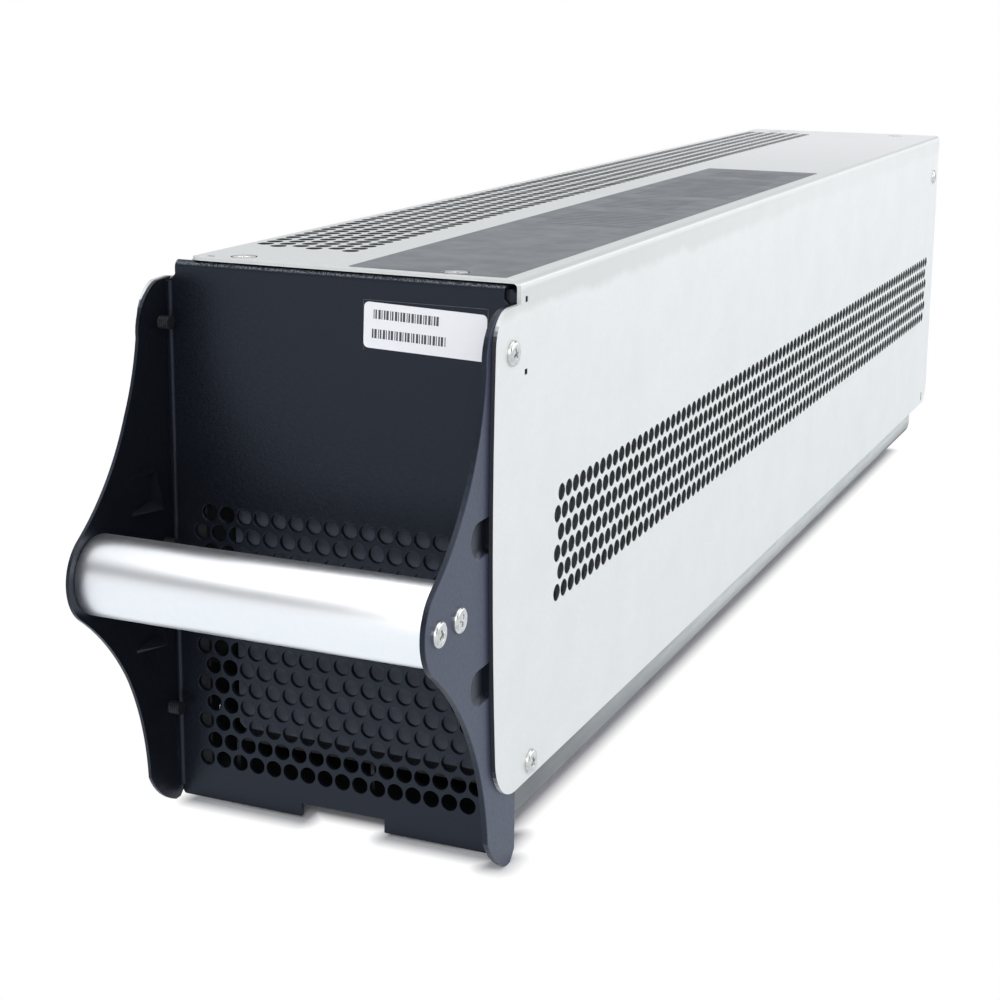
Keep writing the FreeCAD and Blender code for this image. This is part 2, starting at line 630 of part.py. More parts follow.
def pair_links():
    """Short straps joining the lower block of each pair to the upper one."""
    out = []
    for col in range(BLOCK_COLS):
        y = tab_y(col)
        z0 = tab_z(Z_BLOCK)[1] - TAB_W / 2.0
        z1 = tab_z(Z_BLOCK2)[0] + TAB_W / 2.0
        out.append(box(tab_x() + TAB_T / 2.0, tab_x() + TAB_T / 2.0 + LINK_T, y,
                       y + TAB_L - WELL_D + 1.0, z0, z1))
    return group(out)


CHANNEL_X = TRAY_L + TRAY_T + LINK_T * 0.8            # wiring space left of the blocks
STRAP_SKIP = 10.0                            # steps past the strap that comes before


def strap(points, x=CHANNEL_X):
    """Flat strap on edge in the wiring space, bent in its own plane through (y, z) points."""
    out = None
    h = LINK_W / 2.0
    for (ya, za), (yb, zb) in zip(points, points[1:]):
        bar = box(x, x + LINK_T, min(ya, yb) - h, max(ya, yb) + h, min(za, zb) - h,
                  max(za, zb) + h)
        out = bar if out is None else out.fuse(bar)
    return out.removeSplitter()


def tongue(y, z):
    """Tongue from the wiring space across to a tab."""
    return box(CHANNEL_X, tab_x() - TAB_T / 2.0, y, y + LINK_T, z - LINK_W / 2.0, z + LINK_W / 2.0)


def tab_y(col):
    return BLOCK_Y0 + col * BLOCK_STEP + BLOCK_L + 0.2


def row_links():
    """Straps along the left side, from the top tab of one pair to the bottom of the next."""
    out = []
    h = LINK_W / 2.0
    for col in range(BLOCK_COLS - 1):
        ya, yb = tab_y(col), tab_y(col + 1)
        za, zb = tab_z(Z_BLOCK2)[1], tab_z(Z_BLOCK)[0]
        side = strap([(ya + h, za), (ya + h + STRAP_SKIP, za), (ya + h + STRAP_SKIP, zb),
                      (yb + LINK_T - h, zb)])
        out.append(side.fuse([tongue(ya, za), tongue(yb, zb)]).removeSplitter())
    return group(out)


def end_straps():
    """Straps from the two ends of the string to the connector's contact tails."""
    h = LINK_W / 2.0
    y_tail = Y_PANEL - CONTACT_TAIL
    far = tab_y(BLOCK_COLS - 1)
    # from the last top tab, down the left side and across behind the blocks
    za = tab_z(Z_BLOCK2)[1]
    top = strap([(far + h, za), (y_tail - h, za), (y_tail - h, PLUG_Z)])
    top = top.fuse([tongue(far, za),
                    box(CHANNEL_X, socket_x()[0] - SOCKET / 2.0 + CONTACT_T, y_tail - LINK_T, y_tail,
                        PLUG_Z - h, PLUG_Z + h)])
    # from the first bottom tab, low along the left side and up behind the blocks
    near, zb = tab_y(0), tab_z(Z_BLOCK)[0]
    low = zb - LINK_W - 1.0
    base = strap([(near + h, zb), (near + h, low), (y_tail - h, low)])
    x1 = socket_x()[1] - SOCKET / 2.0
    base = base.fuse([tongue(near, zb),
                      box(CHANNEL_X, x1 + h, y_tail - LINK_T, y_tail, low - h, low + h),
                      box(x1 - h, x1 + h, y_tail - LINK_T, y_tail, low - h,
                          PLUG_Z + CONTACT_H / 2.0)])
    return group([top.removeSplitter(), base.removeSplitter()])


def shelf():
    """Inverted channel that holds the blocks off the tray floor."""
    x0, x1 = TRAY_L + TRAY_T + TRAY_BEND, TRAY_R - TRAY_T - FIT
    y0, y1 = BLOCK_Y0, Y_PANEL - PANEL_TAIL - FIT
    top = box(x0, x1, y0, y1, Z_SHELF - SHELF_T, Z_SHELF)
    legs = [box(x, x + SHELF_T, y0, y1, Z_FLOOR, Z_SHELF)
            for x in (x0, (x0 + x1) / 2.0, x1 - TRAY_BEND - SHELF_T)]
    return top.fuse(legs).removeSplitter()


def foam_base():
    x0 = TRAY_L + TRAY_T + TRAY_BEND
    return box(max(x0, BLOCK_X0), BLOCK_X1, BLOCK_Y0 + FOAM_T,
               Y_PANEL - PANEL_TAIL - FOAM_T, Z_SHELF, Z_BLOCK)


def foam_top():
    z = Z_BLOCK2 + BLOCK_H
    return box(BLOCK_X0 + FOAM_IN, BLOCK_X1 - FOAM_IN, Y0 + LIP_LEN + FOAM_IN,
               BLOCK_Y0 + (BLOCK_COLS - 1) * BLOCK_STEP + BLOCK_L - FOAM_IN, z, Z_TOP - COVER_T)


# ---------------------------------------------------------------- build
def build():
    keep("cover", cover())
    keep("tray", tray())
    keep("rear_panel", rear_panel())
    keep("front_plate", front_plate())
    keep("handle_tube", handle_tube())
    keep("handle_plugs", handle_plugs())
    keep("handle_screws", group([pan_screw(V(s * FLANGE_OUT, y, z), V(-s, 0, 0))
                                 for s in (-1, 1) for y, z in handle_screw_spots()]))
    keep("flange_screws", group([pan_screw(V(s * EAR_OUT, y, z), V(-s, 0, 0))
                                 for s in (-1, 1) for y, z in ear_screw_spots(s)]))
    y, z = wall_screw_spots()[0]
    keep("tray_screws", group([pan_screw(V(XL, y, z), V(1, 0, 0), WALL_SCREW_LEN),
                               pan_screw(V(XR, y, z), V(-1, 0, 0), WALL_SCREW_LEN)]))
    y, z = wall_screw_spots()[1]
    keep("rear_side_screws", group([pan_screw(V(XL, y, z), V(1, 0, 0), WALL_SCREW_LEN),
                                    pan_screw(V(XR, y, z), V(-1, 0, 0), WALL_SCREW_LEN)]))
    keep("top_screws", group([csk_screw(V(x, y, Z_TOP), TOP_SCREW_LEN) for x, y in top_screw_spots()]))
    keep("shelf", shelf())
    keep("foam_base", foam_base())
    keep("foam_top", foam_top())
    keep("battery_cases", battery_cases())
    keep("battery_lids", battery_lids())
    keep("battery_tabs", battery_tabs())
    keep("pair_links", pair_links())
    keep("row_links", row_links())
    keep("end_straps", end_straps())
    keep("connector_carrier", connector_carrier())
    keep("connector_housing", connector_housing())
    keep("connector_contacts", group(contacts()))
    keep("connector_screws", connector_screws())


build()
os.makedirs("parts", exist_ok=True)
for name, shape in NODES.items():
    shape.exportStep("parts/%s.step" % name)
    bb = shape.BoundBox
    print("%-20s solids %2d  x %.1f..%.1f  y %.1f..%.1f  z %.1f..%.1f" % (
        name, len(shape.Solids), bb.XMin, bb.XMax, bb.YMin, bb.YMax, bb.ZMin, bb.ZMax))
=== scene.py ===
# %% [markdown]
# # Battery cartridge for a data-centre UPS
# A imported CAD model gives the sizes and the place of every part. This script builds the surfaces
# that a close view needs on top of it: vented sheet metal, powder-coated steel, a satin tube,
# screws and bare labels. Everything is in metres, +Z up, the handle towards -Y.

# %% Load the frame
import math

import bmesh
import bpy
from mathutils import Matrix, Vector


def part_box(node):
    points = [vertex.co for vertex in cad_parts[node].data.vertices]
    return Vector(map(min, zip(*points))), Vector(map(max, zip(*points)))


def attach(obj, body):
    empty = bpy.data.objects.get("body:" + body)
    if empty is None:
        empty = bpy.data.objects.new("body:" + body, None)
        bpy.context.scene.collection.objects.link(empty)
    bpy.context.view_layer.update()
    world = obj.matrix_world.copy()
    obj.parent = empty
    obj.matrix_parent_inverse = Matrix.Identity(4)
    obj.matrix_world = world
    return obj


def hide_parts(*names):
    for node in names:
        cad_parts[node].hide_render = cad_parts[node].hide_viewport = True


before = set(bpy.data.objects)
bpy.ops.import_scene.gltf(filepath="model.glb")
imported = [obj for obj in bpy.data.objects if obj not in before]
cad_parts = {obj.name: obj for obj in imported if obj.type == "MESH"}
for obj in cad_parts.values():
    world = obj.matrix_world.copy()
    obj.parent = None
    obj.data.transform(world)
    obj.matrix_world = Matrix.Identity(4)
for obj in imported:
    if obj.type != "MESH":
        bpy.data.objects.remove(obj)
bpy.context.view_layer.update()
MM = 0.001
print("nodes in the frame:", len(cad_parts))

# %% [markdown]
# ## Sizes
# The main planes of the sheet metal, in millimetres, as the CAD model has them.

# %% Name the planes
COVER = [[v / MM for v in corner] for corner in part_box("cover")]
TUBE = [[v / MM for v in corner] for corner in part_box("handle_tube")]
XR = COVER[1][0]                  # right wall, outer face
XL = XR - 105.0                   # left wall, outer face
Z_TOP = COVER[1][2]
Z_SKIRT = COVER[0][2]
Y1 = COVER[1][1]                  # rear edge
Y0 = Y1 - 585.0                   # front face of the plate
T_COVER, BEND = 1.2, 2.4
T_PLATE, FOLD = 1.6, TUBE[1][0]   # inner faces of the flanges at +-FOLD
FLANGE_OUT = FOLD + T_PLATE
EAR_OUT = XR
FLANGE_TOP = Z_TOP - 6.6
Z_LIP = Z_TOP - 1.5
HANDLE_Y, HANDLE_Z = (TUBE[0][1] + TUBE[1][1]) / 2, (TUBE[0][2] + TUBE[1][2]) / 2
print("plate at y = %.1f mm, cover %.1f to %.1f mm wide" % (Y0, XL, XR))

# %% [markdown]
# ## Small tools
# `piece` makes a solid and `sheet_piece` a folded sheet from a bmesh drawn in millimetres. The
# others draw outlines, fill them and punch rows of holes.


# %% Object helpers
def link_object(name, data):
    obj = bpy.data.objects.new(name, data)
    bpy.context.scene.collection.objects.link(obj)
    return obj


def body_object(name, bm, material, replaces):
    """Scale a bmesh drawn in millimetres and turn it into an object that rides on the body."""
    bmesh.ops.scale(bm, vec=(MM, MM, MM), verts=bm.verts)
    mesh = bpy.data.meshes.new(name)
    bm.to_mesh(mesh)
    bm.free()
    obj = link_object(name, mesh)
    mesh.materials.append(material)
    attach(obj, "root")
    if replaces:
        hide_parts(*replaces)
    return obj


def piece(name, bm, material, replaces=(), smooth=False):
    """A closed solid, its faces turned outward."""
    bmesh.ops.recalc_face_normals(bm, faces=bm.faces)
    for face in bm.faces:
        face.smooth = smooth
    return body_object(name, bm, material, replaces)


def sheet_piece(name, bm, material, thickness, edge, replaces=()):
    """A formed surface given its sheet thickness behind it, with softened cut edges."""
    obj = body_object(name, bm, material, replaces)
    solid = obj.modifiers.new("thickness", "SOLIDIFY")
    solid.thickness = thickness * MM
    solid.offset = -1.0
    solid.use_even_offset = True
    if edge:
        bevel = obj.modifiers.new("edges", "BEVEL")
        bevel.width = edge * MM
        bevel.segments = 2
        bevel.profile = 0.5
        bevel.limit_method = "ANGLE"
        bevel.angle_limit = math.radians(50)
    return obj


def sharpen(obj, degrees):
    """Keep the edges of a smooth object sharp where its faces turn by more than this."""
    bm = bmesh.new()
    bm.from_mesh(obj.data)
    for edge in bm.edges:
        edge.smooth = edge.calc_face_angle(0.0) < math.radians(degrees)
    bm.to_mesh(obj.data)
    bm.free()


# %% Mesh helpers
def made_verts(result):
    return [g for g in result["geom"] if isinstance(g, bmesh.types.BMVert)]


def made_edges(result):
    return [g for g in result["geom"] if isinstance(g, bmesh.types.BMEdge)]


def fill(bm, edges):
    bmesh.ops.triangle_fill(bm, edges=edges, use_beauty=True, normal=(0, 0, 1))


def face_up(bm):
    for face in bm.faces:
        face.normal_update()
        if face.normal.z < 0:
            face.normal_flip()


def slice_at(bm, point, normal, dist=0.0):
    """Add a line of edges where a plane meets the mesh, so that it can bend there."""
    bmesh.ops.bisect_plane(bm, geom=bm.verts[:] + bm.edges[:] + bm.faces[:], plane_co=point,
                           plane_no=normal, dist=dist)


def soft_box(bm, size, centre, edge):
    """A box with rounded edges, drawn into an empty bmesh."""
    bmesh.ops.create_cube(bm, size=1.0)
    bmesh.ops.scale(bm, vec=size, verts=bm.verts)
    bmesh.ops.bevel(bm, geom=bm.edges[:], offset=edge, segments=2, profile=0.5, material=-1,
                    affect="EDGES")
    bmesh.ops.translate(bm, vec=centre, verts=bm.verts)


def loop(bm, points):
    """A closed ring of edges through points, drawn once."""
    verts = [bm.verts.new(p) for p in points]
    return [bm.edges.new((verts[i - 1], verts[i])) for i in range(len(verts))]


def arc(p, q, rise, n):
    """Points from p to q on an arc whose middle stands off the chord by rise, to its left."""
    (px, py), (qx, qy) = p, q
    mx, my = (px + qx) / 2, (py + qy) / 2
    half = math.hypot(qx - px, qy - py) / 2
    r = (half * half + rise * rise) / (2 * abs(rise))
    nx, ny = -(qy - py) / (2 * half), (qx - px) / (2 * half)
    s = 1 if rise > 0 else -1
    cx, cy = mx - s * nx * (r - abs(rise)), my - s * ny * (r - abs(rise))
    a0 = math.atan2(py - cy, px - cx)
    a1 = math.atan2(qy - cy, qx - cx)
    turn = (a1 - a0 + math.pi) % (2 * math.pi) - math.pi
    return [(cx + r * math.cos(a0 + turn * k / n), cy + r * math.sin(a0 + turn * k / n))
            for k in range(1, n + 1)]


def circle(cx, cy, r, n, start=0.0):
    return [(cx + r * math.cos(start + 2 * math.pi * k / n),
             cy + r * math.sin(start + 2 * math.pi * k / n)) for k in range(n)]


def flat_rings(bm, rings):
    """Edges of closed outlines in the plane z = 0: the first holds the others."""
    edges = []
    for ring in rings:
        edges += loop(bm, [(x, y, 0) for x, y in ring])
    return edges


def vent_field(bm, x0, y0, cols, rows, dx, dy, r, sides):
    """Staggered round holes as one welded patch: one cell, repeated along a row, then by rows.

    Returns the edges along the patch's sides, which join it to the sheet around it.
    """
    half = dx / 2
    for row in range(rows):
        shift = half if row % 2 else 0.0
        cell = bmesh.new()
        outer = [(0, 0), (half, 0), (dx, 0), (dx, dy), (half, dy), (0, dy)]
        fill(cell, flat_rings(cell, [outer, circle(half, dy / 2, r, sides, 0.13)]))
        inner = [f for f in cell.faces
                 if (f.calc_center_median() - Vector((half, dy / 2, 0))).length < r * 0.9]
        bmesh.ops.delete(cell, geom=inner, context="FACES")
        made = list(cell.verts) + list(cell.edges) + list(cell.faces)
        for k in range(1, cols):
            copy = bmesh.ops.duplicate(cell, geom=made)
            bmesh.ops.translate(cell, vec=(k * dx, 0, 0), verts=made_verts(copy))
        x = cols * dx if not shift else -half
        end = [cell.verts.new((x + a, b, 0)) for a, b in ((0, 0), (half, 0), (half, dy), (0, dy))]
        cell.faces.new(end)
        bmesh.ops.remove_doubles(cell, verts=cell.verts, dist=1e-4)
        bmesh.ops.translate(cell, vec=(x0 + shift, y0 + row * dy, 0), verts=cell.verts)
        mesh = bpy.data.meshes.new("row")
        cell.to_mesh(mesh)
        cell.free()
        bm.from_mesh(mesh)
        bpy.data.meshes.remove(mesh)
    bmesh.ops.remove_doubles(bm, verts=bm.verts, dist=1e-3)
    sides_of_patch = []
    for edge in bm.edges:
        if edge.is_boundary:
            a, b = edge.verts[0].co, edge.verts[1].co
            if abs(a.x - b.x) < 1e-4 or abs(a.y - b.y) < 1e-4:
                sides_of_patch.append(edge)
    return sides_of_patch


print("tools ready")

# %% [markdown]
# ## Materials
# Each finish is a node material in object coordinates. Two shared groups give the fine grain of
# powder coat and the soft mottling of zinc.


# %% Node helpers
def node(tree, kind, **values):
    n = tree.nodes.new(kind)
    for key, value in values.items():
        if hasattr(n, key):
            setattr(n, key, value)
        else:
            n.inputs[key.replace("_", " ")].default_value = value
    return n


def group_tree(name, outputs, inputs=()):
    tree = bpy.data.node_groups.new(name, "ShaderNodeTree")
    for label, kind, default in inputs:
        socket = tree.interface.new_socket(label, in_out="INPUT", socket_type=kind)
        socket.default_value = default
    for label, kind in outputs:
        tree.interface.new_socket(label, in_out="OUTPUT", socket_type=kind)
    return tree, tree.nodes.new("NodeGroupInput"), tree.nodes.new("NodeGroupOutput")


def ramp(tree, source, low, high, a=0.0, b=1.0):
    """Map a value from low..high to a..b, clamped."""
    n = node(tree, "ShaderNodeMapRange", clamp=True)
    n.inputs["From Min"].default_value = low
    n.inputs["From Max"].default_value = high
    n.inputs["To Min"].default_value = a
    n.inputs["To Max"].default_value = b
    tree.links.new(source, n.inputs["Value"])
    return n.outputs["Result"]


def noise(tree, coords, scale, detail=3.0, rough=0.55):
    n = node(tree, "ShaderNodeTexNoise", Scale=scale, Detail=detail, Roughness=rough)
    tree.links.new(coords, n.inputs["Vector"])
    return n.outputs["Fac"]


def mix_colour(tree, factor, a, b):
    n = node(tree, "ShaderNodeMix", data_type="RGBA")
    for socket, value in ((n.inputs[0], factor), (n.inputs[6], a), (n.inputs[7], b)):
        if isinstance(value, bpy.types.NodeSocket):
            tree.links.new(value, socket)
        elif isinstance(value, float):
            socket.default_value = value
        else:
            socket.default_value = (*value, 1.0)
    return n.outputs[2]


def new_material(name):
    m = bpy.data.materials.new(name)
    m.use_nodes = True
    tree = m.node_tree
    shader = tree.nodes["Principled BSDF"]
    coords = node(tree, "ShaderNodeTexCoord").outputs["Object"]
    return m, tree, shader, coords


def bump(tree, shader, height, strength, distance):
    n = node(tree, "ShaderNodeBump", Strength=strength, Distance=distance)
    tree.links.new(height, n.inputs["Height"])
    tree.links.new(n.outputs["Normal"], shader.inputs["Normal"])


def maths(tree, operation, a, b):
    n = node(tree, "ShaderNodeMath", operation=operation)
    for k, value in enumerate((a, b)):
        if isinstance(value, bpy.types.NodeSocket):
            tree.links.new(value, n.inputs[k])
        else:
            n.inputs[k].default_value = value
    return n.outputs[0]


def product(tree, a, b):
    return maths(tree, "MULTIPLY", a, b)


def vector_maths(tree, operation, source, value=None):
    n = node(tree, "ShaderNodeVectorMath", operation=operation)
    tree.links.new(source, n.inputs[0])
    if value:
        n.inputs[1].default_value = value
    return n


def split_xyz(tree, source):
    n = tree.nodes.new("ShaderNodeSeparateXYZ")
    tree.links.new(source, n.inputs[0])
    return n.outputs


def use_group(tree, group):
    n = tree.nodes.new("ShaderNodeGroup")
    n.node_tree = group
    return n.outputs


def stretched(tree, coords, along):
    """Coordinates drawn out along Y, for marks that run the length of the body."""
    n = node(tree, "ShaderNodeMapping")
    n.inputs["Scale"].default_value = (1.0, along, 1.0)
    tree.links.new(coords, n.inputs["Vector"])
    return n.outputs["Vector"]


def ramp_mm(tree, source, low, high, a=0.0, b=1.0):
    """The same as ramp, for a place given in millimetres."""
    return ramp(tree, source, low * MM, high * MM, a, b)


def band_mm(tree, source, rise, fall):
    """1 between two heights: rises over the first pair of millimetres, falls over the second."""
    return product(tree, ramp_mm(tree, source, *rise), ramp_mm(tree, source, *fall, 1.0, 0.0))


# %% Shared groups
grain, grain_in, grain_out = group_tree(
    "powder_grain", [("Height", "NodeSocketFloat"), ("Fleck", "NodeSocketFloat")],
    [("Scale", "NodeSocketFloat", 900.0)])
g_co = node(grain, "ShaderNodeTexCoord").outputs["Object"]
g_noise = node(grain, "ShaderNodeTexNoise", Detail=4.0, Roughness=0.6)
grain.links.new(g_co, g_noise.inputs["Vector"])
grain.links.new(grain_in.outputs["Scale"], g_noise.inputs["Scale"])
g_cell = node(grain, "ShaderNodeTexVoronoi", Scale=1400.0)
grain.links.new(g_co, g_cell.inputs["Vector"])
grain.links.new(g_noise.outputs["Fac"], grain_out.inputs["Height"])
grain.links.new(ramp(grain, g_cell.outputs["Distance"], 0.0, 0.35, 1.0, 0.0),
                grain_out.inputs["Fleck"])

mottle, _, mottle_out = group_tree(
    "zinc_mottle", [("Patch", "NodeSocketFloat"), ("Scuff", "NodeSocketFloat"),
                    ("Fine", "NodeSocketFloat")])
m_co = node(mottle, "ShaderNodeTexCoord").outputs["Object"]
m_scuff = noise(mottle, stretched(mottle, m_co, 0.12), 260.0, 6.0, 0.7)
mottle.links.new(ramp(mottle, noise(mottle, m_co, 38.0, 8.0, 0.72), 0.3, 0.75),
                 mottle_out.inputs["Patch"])
mottle.links.new(ramp(mottle, m_scuff, 0.55, 0.8), mottle_out.inputs["Scuff"])
mottle.links.new(noise(mottle, m_co, 900.0, 2.0, 0.5), mottle_out.inputs["Fine"])
print("groups:", [g.name for g in bpy.data.node_groups])


# %% Painted shade inside the cover and tray
def painted_shade_box(name, low, high, corner):
    """Group whose output is 1 inside a box in millimetres, its long edges cut off by corner; it
    marks where painted shade darkens the inside.
    """
    tree, _, out = group_tree(name, [("Inside", "NodeSocketFloat")])
    centre = [(p + q) / 2 * MM for p, q in zip(low, high)]
    half = [(q - p) / 2 * MM for p, q in zip(low, high)]
    place = node(tree, "ShaderNodeTexCoord").outputs["Object"]
    shifted = vector_maths(tree, "SUBTRACT", place, centre).outputs[0]
    size = split_xyz(tree, vector_maths(tree, "ABSOLUTE", shifted).outputs[0])
    cut = half[0] + half[2] - corner * MM
    last = ramp(tree, maths(tree, "ADD", size["X"], size["Z"]), cut - 0.3 * MM, cut, 1.0, 0.0)
    for axis, reach in zip("XYZ", half):
        near = ramp(tree, size[axis], reach - MASK_SOFT * MM, reach, 1.0, 0.0)
        last = product(tree, last, near)
    tree.links.new(last, out.inputs["Inside"])
    return tree


MASK_SOFT = 0.08                  # depth over which a mask fades out
# Inner faces and hole walls of the cover and the tray turn dark here: painted shade inside them.
COVER_PAINTED_SHADE = painted_shade_box("cover_painted_shade", (XL + 0.14, Y0 + 1.0, 0.0),
                        (XR - 0.14, Y1 + 20, Z_TOP - 0.07), 2.1)
TRAY_PAINTED_SHADE = painted_shade_box("tray_painted_shade", (-46.3, Y0 + 0.5, 8.5), (55.2, Y1 + 20, 60.0), 1.4)


# %% Sheet metal
def bend_wear_and_painted_light(tree, coords, marks_and_painted_light):
    """Scuffs and a dull band below and along the cover's rolled top edges, a painted highlight
    along the bends, a whiter top towards the rear and painted shade on the forward-facing cut
    edges; heights in mm.
    """
    facing = split_xyz(tree, tree.nodes.new("ShaderNodeNewGeometry").outputs["Normal"])
    place = split_xyz(tree, coords)
    height, length = place["Z"], place["Y"]
    along = ramp_mm(tree, length, Y0 + 60, Y0 + 330, 0.42, 0.10)
    blotch = product(tree, noise(tree, coords, 45.0, 5.0, 0.7), 8.0 * MM)
    ragged = maths(tree, "ADD", height, blotch)
    scraped = product(tree, ramp_mm(tree, ragged, 161.5, 164.5),
                      ramp_mm(tree, height, 164.6, 165.6, 1.0, 0.0))
    marks_and_painted_light = mix_colour(tree, product(tree, scraped, along), marks_and_painted_light, (0.52, 0.53, 0.49))
    dull = band_mm(tree, height, (163.8, 165.2), (167.5, 167.95))
    marks_and_painted_light = mix_colour(tree, product(tree, dull, product(tree, along, 1.3)), marks_and_painted_light,
                      (0.64, 0.65, 0.61))
    # Painted highlight: a bright line along both rolled edges of the top.
    painted_highlight = band_mm(tree, height, (166.2, 166.5), (166.7, 167.1))
    marks_and_painted_light = mix_colour(tree, product(tree, painted_highlight, 0.8), marks_and_painted_light, (0.93, 0.935, 0.93))
    # The top turns whiter towards the rear.
    whiter_rear_top = product(tree, ramp_mm(tree, length, 0.0, 260.0, 0.0, 0.9),
                    ramp_mm(tree, height, 167.6, 167.9))
    marks_and_painted_light = mix_colour(tree, whiter_rear_top, marks_and_painted_light, (0.985, 0.985, 0.985))
    # Painted shade: faces that look forward below the top, such as the ears' cut front edges, go
    # near-black.
    cut = product(tree, ramp(tree, facing["Y"], -0.96, -0.75, 1.0, 0.0),
                  ramp_mm(tree, height, 158.5, 161.0, 1.0, 0.0))
    return mix_colour(tree, cut, marks_and_painted_light, (0.040, 0.042, 0.048))


def tray_shade(tree, coords, marks_and_painted_light):
    """Streaks along the tray, with painted shade making it darker towards its floor and its front.
    """
    place = split_xyz(tree, coords)
    drawn = noise(tree, stretched(tree, coords, 0.08), 330.0, 5.0, 0.7)
    marks_and_painted_light = mix_colour(tree, ramp(tree, drawn, 0.35, 0.65, 0.0, 0.4), marks_and_painted_light, (0.27, 0.285, 0.30))
    # Painted shade towards the tray's floor and its front.
    low = ramp_mm(tree, place["Z"], 10.0, 18.0, 0.95, 0.0)
    marks_and_painted_light = mix_colour(tree, low, marks_and_painted_light, (0.075, 0.08, 0.095))
    front = ramp_mm(tree, place["Y"], Y0 + 20, Y0 + 200, 0.88, 0.0)
    return mix_colour(tree, front, marks_and_painted_light, (0.10, 0.105, 0.11))


def zinc(name, base, dark, metallic, rough_a, rough_b, inside=None, add_marks_and_painted_light=None,
         painted_shade_colour=(0.012, 0.013, 0.016)):
    """Galvanised steel; the function passed after the mask adds marks, painted light and painted
    shade to it, and inside masks the painted shade within it.
    """
    m, tree, shader, coords = new_material(name)
    marks = use_group(tree, mottle)
    marks_and_painted_light = mix_colour(tree, marks["Patch"], base, dark)
    marks_and_painted_light = mix_colour(tree, product(tree, marks["Scuff"], 0.3), marks_and_painted_light, dark)
    marks_and_painted_light = mix_colour(tree, ramp(tree, marks["Fine"], 0.35, 0.65, 0.0, 0.5), marks_and_painted_light, dark)
    if add_marks_and_painted_light:
        marks_and_painted_light = add_marks_and_painted_light(tree, coords, marks_and_painted_light)
    # Painted shade: inside the mask the colour turns dark and stops being metallic.
    if inside:
        painted_shade_mask = use_group(tree, inside)["Inside"]
        marks_and_painted_light = mix_colour(tree, painted_shade_mask, marks_and_painted_light, painted_shade_colour)
        tree.links.new(ramp(tree, painted_shade_mask, 0.0, 1.0, metallic, 0.0), shader.inputs["Metallic"])
    else:
        shader.inputs["Metallic"].default_value = metallic
    tree.links.new(marks_and_painted_light, shader.inputs["Base Color"])
    tree.links.new(ramp(tree, marks["Patch"], 0.0, 1.0, rough_a, rough_b),
                   shader.inputs["Roughness"])
    bump(tree, shader, marks["Fine"], 0.12, 0.0002)
    return m


GALVANISED = zinc("galvanised", (0.83, 0.843, 0.838), (0.765, 0.778, 0.757), 0.35, 0.40, 0.47,
                  COVER_PAINTED_SHADE, bend_wear_and_painted_light, painted_shade_colour=(0.055, 0.058, 0.062))
TRAY_STEEL = zinc("tray_steel", (0.70, 0.71, 0.69), (0.60, 0.61, 0.60), 0.4, 0.36, 0.48,
                  TRAY_PAINTED_SHADE, tray_shade)
# Zinc turned dark for the parts deep inside the body: painted shade.
INNER_STEEL_SHADED = zinc("inner_steel_shaded", (0.30, 0.31, 0.31), (0.24, 0.25, 0.25), 0.6, 0.4, 0.52)

# %% Powder coat
POWDER, p_tree, p_shader, p_co = new_material("black_powder")
p_grain = use_group(p_tree, grain)
p_place = split_xyz(p_tree, p_co)
# Painted highlight: bright speckles along the plate's rolled top edge.
p_bend = band_mm(p_tree, p_place["Z"], (165.2, 165.6), (165.8, 166.2))
p_painted_glint = product(p_tree, p_bend, ramp(p_tree, noise(p_tree, p_co, 2400.0, 2.0), 0.44, 0.62))
# Painted light: the right flange's outer face gets a lighter, bluer colour for the light it
# catches.
p_painted_light_outer = ramp_mm(p_tree, p_place["X"], 55.3, 55.6)
p_coat_and_painted_light = mix_colour(p_tree, p_painted_light_outer, (0.0060, 0.0072, 0.0112), (0.040, 0.046, 0.080))
p_coat_and_painted_light = mix_colour(p_tree, ramp(p_tree, p_grain["Fleck"], 0.6, 1.0, 0.0, 0.3), p_coat_and_painted_light,
                    (0.020, 0.023, 0.034))
p_coat_and_painted_light = mix_colour(p_tree, p_painted_glint, p_coat_and_painted_light, (0.26, 0.275, 0.30))
p_tree.links.new(p_coat_and_painted_light, p_shader.inputs["Base Color"])
p_tree.links.new(ramp(p_tree, p_grain["Height"], 0.3, 0.7, 0.30, 0.42),
                 p_shader.inputs["Roughness"])
p_shader.inputs["Specular IOR Level"].default_value = 0.43
p_shader.inputs["Specular Tint"].default_value = (0.69, 0.79, 1.0, 1)
bump(p_tree, p_shader, p_grain["Height"], 0.22, 0.0003)


# %% Metal, plastic and print
def plain(name, a, b, scale, metallic, rough_a, rough_b, height=0.1, depth=0.0002):
    """A finish that wanders between two colours, with its roughness and a fine bump."""
    m, tree, shader, coords = new_material(name)
    fac = noise(tree, coords, scale, 4.0, 0.6)
    tree.links.new(mix_colour(tree, ramp(tree, fac, 0.35, 0.65), a, b),
                   shader.inputs["Base Color"])
    tree.links.new(ramp(tree, fac, 0.3, 0.7, rough_a, rough_b), shader.inputs["Roughness"])
    shader.inputs["Metallic"].default_value = metallic
    bump(tree, shader, noise(tree, coords, scale * 7.0, 2.0), height, depth)
    return m


